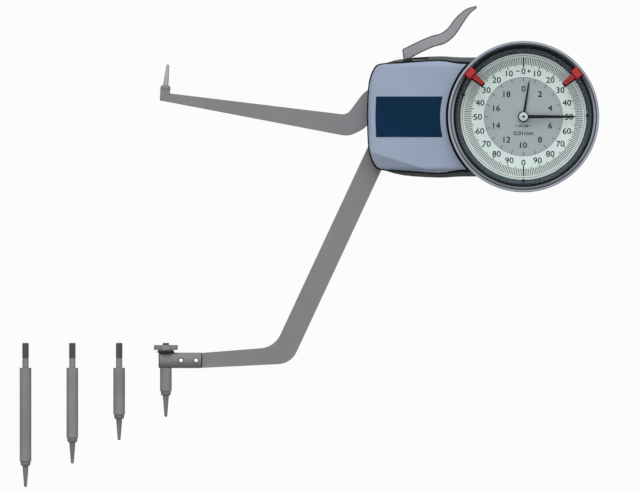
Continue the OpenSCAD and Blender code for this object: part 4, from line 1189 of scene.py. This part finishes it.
@dataclass
class Studio:
    """Pale floor, soft light and a camera straight above.

    Attributes:
        middle: Point of the floor in the middle of the picture.
        view_w: Width that the picture shows.
        height: Height of the camera above the floor, in metres.
        plane: Height at which that width is shown.
        clear: How far the floor lies below the tool's flat back.
        floor_half: Half the floor's side, in metres.
        glow: Share of plain white in the floor that is seen; the rest takes the shadow.
        bounce: sRGB colour of the floor for the light that it sends back.
        lamp_place: Place of the lamp from the picture's middle, in metres.
        lamp_side: Side of its square face, in metres.
        lamp_power: Its power in watts.
        upper_sky: Two steps up the dial, and the strength of the low sky at each.
        lower_sky: Steps up the dial between which the low sky goes dark below the picture.
        rise: Steps towards the zenith between which the low sky turns into the overhead one.
        overhead: Strength of the overhead sky.
    """

    middle: Pair = (-86.7, -55.3)
    view_w: float = 273.0
    height: float = 8.0
    plane: float = 14.0
    clear: float = 0.05
    floor_half: float = 6.0
    glow: float = 0.965
    bounce: str = "#8c8c8c"
    lamp_place: tuple[float, float, float] = (-0.15, 1.45, 0.75)
    lamp_side: float = 0.9
    lamp_power: float = 16.0
    upper_sky: tuple[Pair, Pair] = ((0.1, 0.9), (0.85, 0.42))
    lower_sky: Pair = (-0.55, -0.05)
    rise: Pair = (0.42, 0.95)
    overhead: float = 1.05

    def build(self) -> None:
        """Sets up the camera, the floor, the lamp and the world."""
        bpy.context.scene.view_settings.view_transform = "Standard"
        self.camera()
        self.floor()
        self.lamp()
        self.world()

    def camera(self) -> None:
        """Puts a long lens straight above the tool."""
        lens = bpy.data.cameras.new("straight_above")
        lens.sensor_width = 36.0
        lens.lens = lens.sensor_width * (self.height - self.plane * MM) / (self.view_w * MM)
        lens.clip_end = 2 * self.height
        camera = bpy.data.objects.new("straight_above", lens)
        camera.location = (self.middle[0] * MM, self.middle[1] * MM, self.height)
        bpy.context.scene.collection.objects.link(camera)
        bpy.context.scene.camera = camera

    def seen(self, tree: bpy.types.NodeTree) -> bpy.types.NodeSocket:
        """Says whether a ray comes from the camera, a mirror or glass.

        Args:
            tree: Node tree of the floor.

        Returns:
            Socket with one for such a ray, or else zero.
        """
        path = add_node(tree, "ShaderNodeLightPath")
        found = path.outputs["Is Camera Ray"]
        for kind in ("Is Glossy Ray", "Is Transmission Ray"):
            found = add_node(tree, "ShaderNodeMath", {0: found, 1: path.outputs[kind]},
                             operation="MAXIMUM").outputs[0]
        return found

    def floor(self) -> None:
        """Lays the white floor, which keeps a faint shadow."""
        mesh = bmesh.new()
        bmesh.ops.create_grid(mesh, x_segments=1, y_segments=1, size=self.floor_half,
                              matrix=Matrix.Translation((0.0, 0.0, -self.clear * MM)))
        data = bpy.data.meshes.new("floor")
        mesh.to_mesh(data)
        mesh.free()
        paper = bpy.data.materials.new("white_paper_sweep")
        paper.use_nodes = True
        tree = paper.node_tree
        tree.nodes.clear()
        share = add_node(tree, "ShaderNodeMath", {0: self.seen(tree), 1: self.glow},
                         operation="MULTIPLY")
        dull = add_node(tree, "ShaderNodeBsdfDiffuse", {"Color": linear(self.bounce)})
        white = add_node(tree, "ShaderNodeEmission", {"Color": linear("#ffffff")})
        mixed = add_node(tree, "ShaderNodeMixShader", {
            0: share.outputs[0], 1: dull.outputs[0], 2: white.outputs[0]})
        add_node(tree, "ShaderNodeOutputMaterial", {"Surface": mixed.outputs[0]})
        data.materials.append(paper)
        floor = bpy.data.objects.new("floor", data)
        bpy.context.scene.collection.objects.link(floor)

    def lamp(self) -> None:
        """Hangs a soft lamp that points at the tool."""
        place = Vector(self.lamp_place)
        light = bpy.data.lights.new("key", "AREA")
        light.size = self.lamp_side
        light.energy = self.lamp_power
        lamp = bpy.data.objects.new("key", light)
        lamp.location = place + Vector((*self.middle, 0.0)) * MM
        lamp.rotation_mode = "QUATERNION"
        lamp.rotation_quaternion = place.to_track_quat("Z", "Y")
        lamp.visible_camera = False
        lamp.visible_glossy = False
        bpy.context.scene.collection.objects.link(lamp)

    def world(self) -> None:
        """Sets a sky that is bright overhead and darker low down, most of all below the picture."""
        sky = bpy.data.worlds.new("soft_box")
        bpy.context.scene.world = sky
        sky.use_nodes = True
        tree = sky.node_tree
        tree.nodes.clear()
        ray = add_node(tree, "ShaderNodeTexCoord").outputs["Generated"]
        way = add_node(tree, "ShaderNodeSeparateXYZ", {0: ray})
        (start, stop), (near, far) = self.upper_sky
        side = add_node(tree, "ShaderNodeMapRange", {
            "Value": way.outputs[1], "From Min": start, "From Max": stop, "To Min": near,
            "To Max": far})
        low = add_node(tree, "ShaderNodeMapRange", {
            "Value": way.outputs[1], "From Min": self.lower_sky[0], "From Max": self.lower_sky[1],
            "To Max": side.outputs[0]})
        rise = add_node(tree, "ShaderNodeMapRange", {
            "Value": way.outputs[2], "From Min": self.rise[0], "From Max": self.rise[1]},
            interpolation_type="SMOOTHSTEP")
        glow = add_node(tree, "ShaderNodeMapRange", {
            "Value": rise.outputs[0], "To Min": low.outputs[0], "To Max": self.overhead})
        light = add_node(tree, "ShaderNodeBackground", {
            "Color": linear("#ffffff"), "Strength": glow.outputs[0]})
        add_node(tree, "ShaderNodeOutputWorld", {"Surface": light.outputs[0]})


def main() -> None:
    """Builds the sub-assemblies in order and notes each one as it starts."""
    logging.basicConfig(level=logging.INFO, format="%(name)s: %(message)s")
    for kind in (Studio, Housing, Dial, Bezel, Hands, Markers, Arms, AnvilSet, Movement):
        LOG.info("building %s", kind.__name__)
        kind().build()


if __name__ == "__main__":
    main()
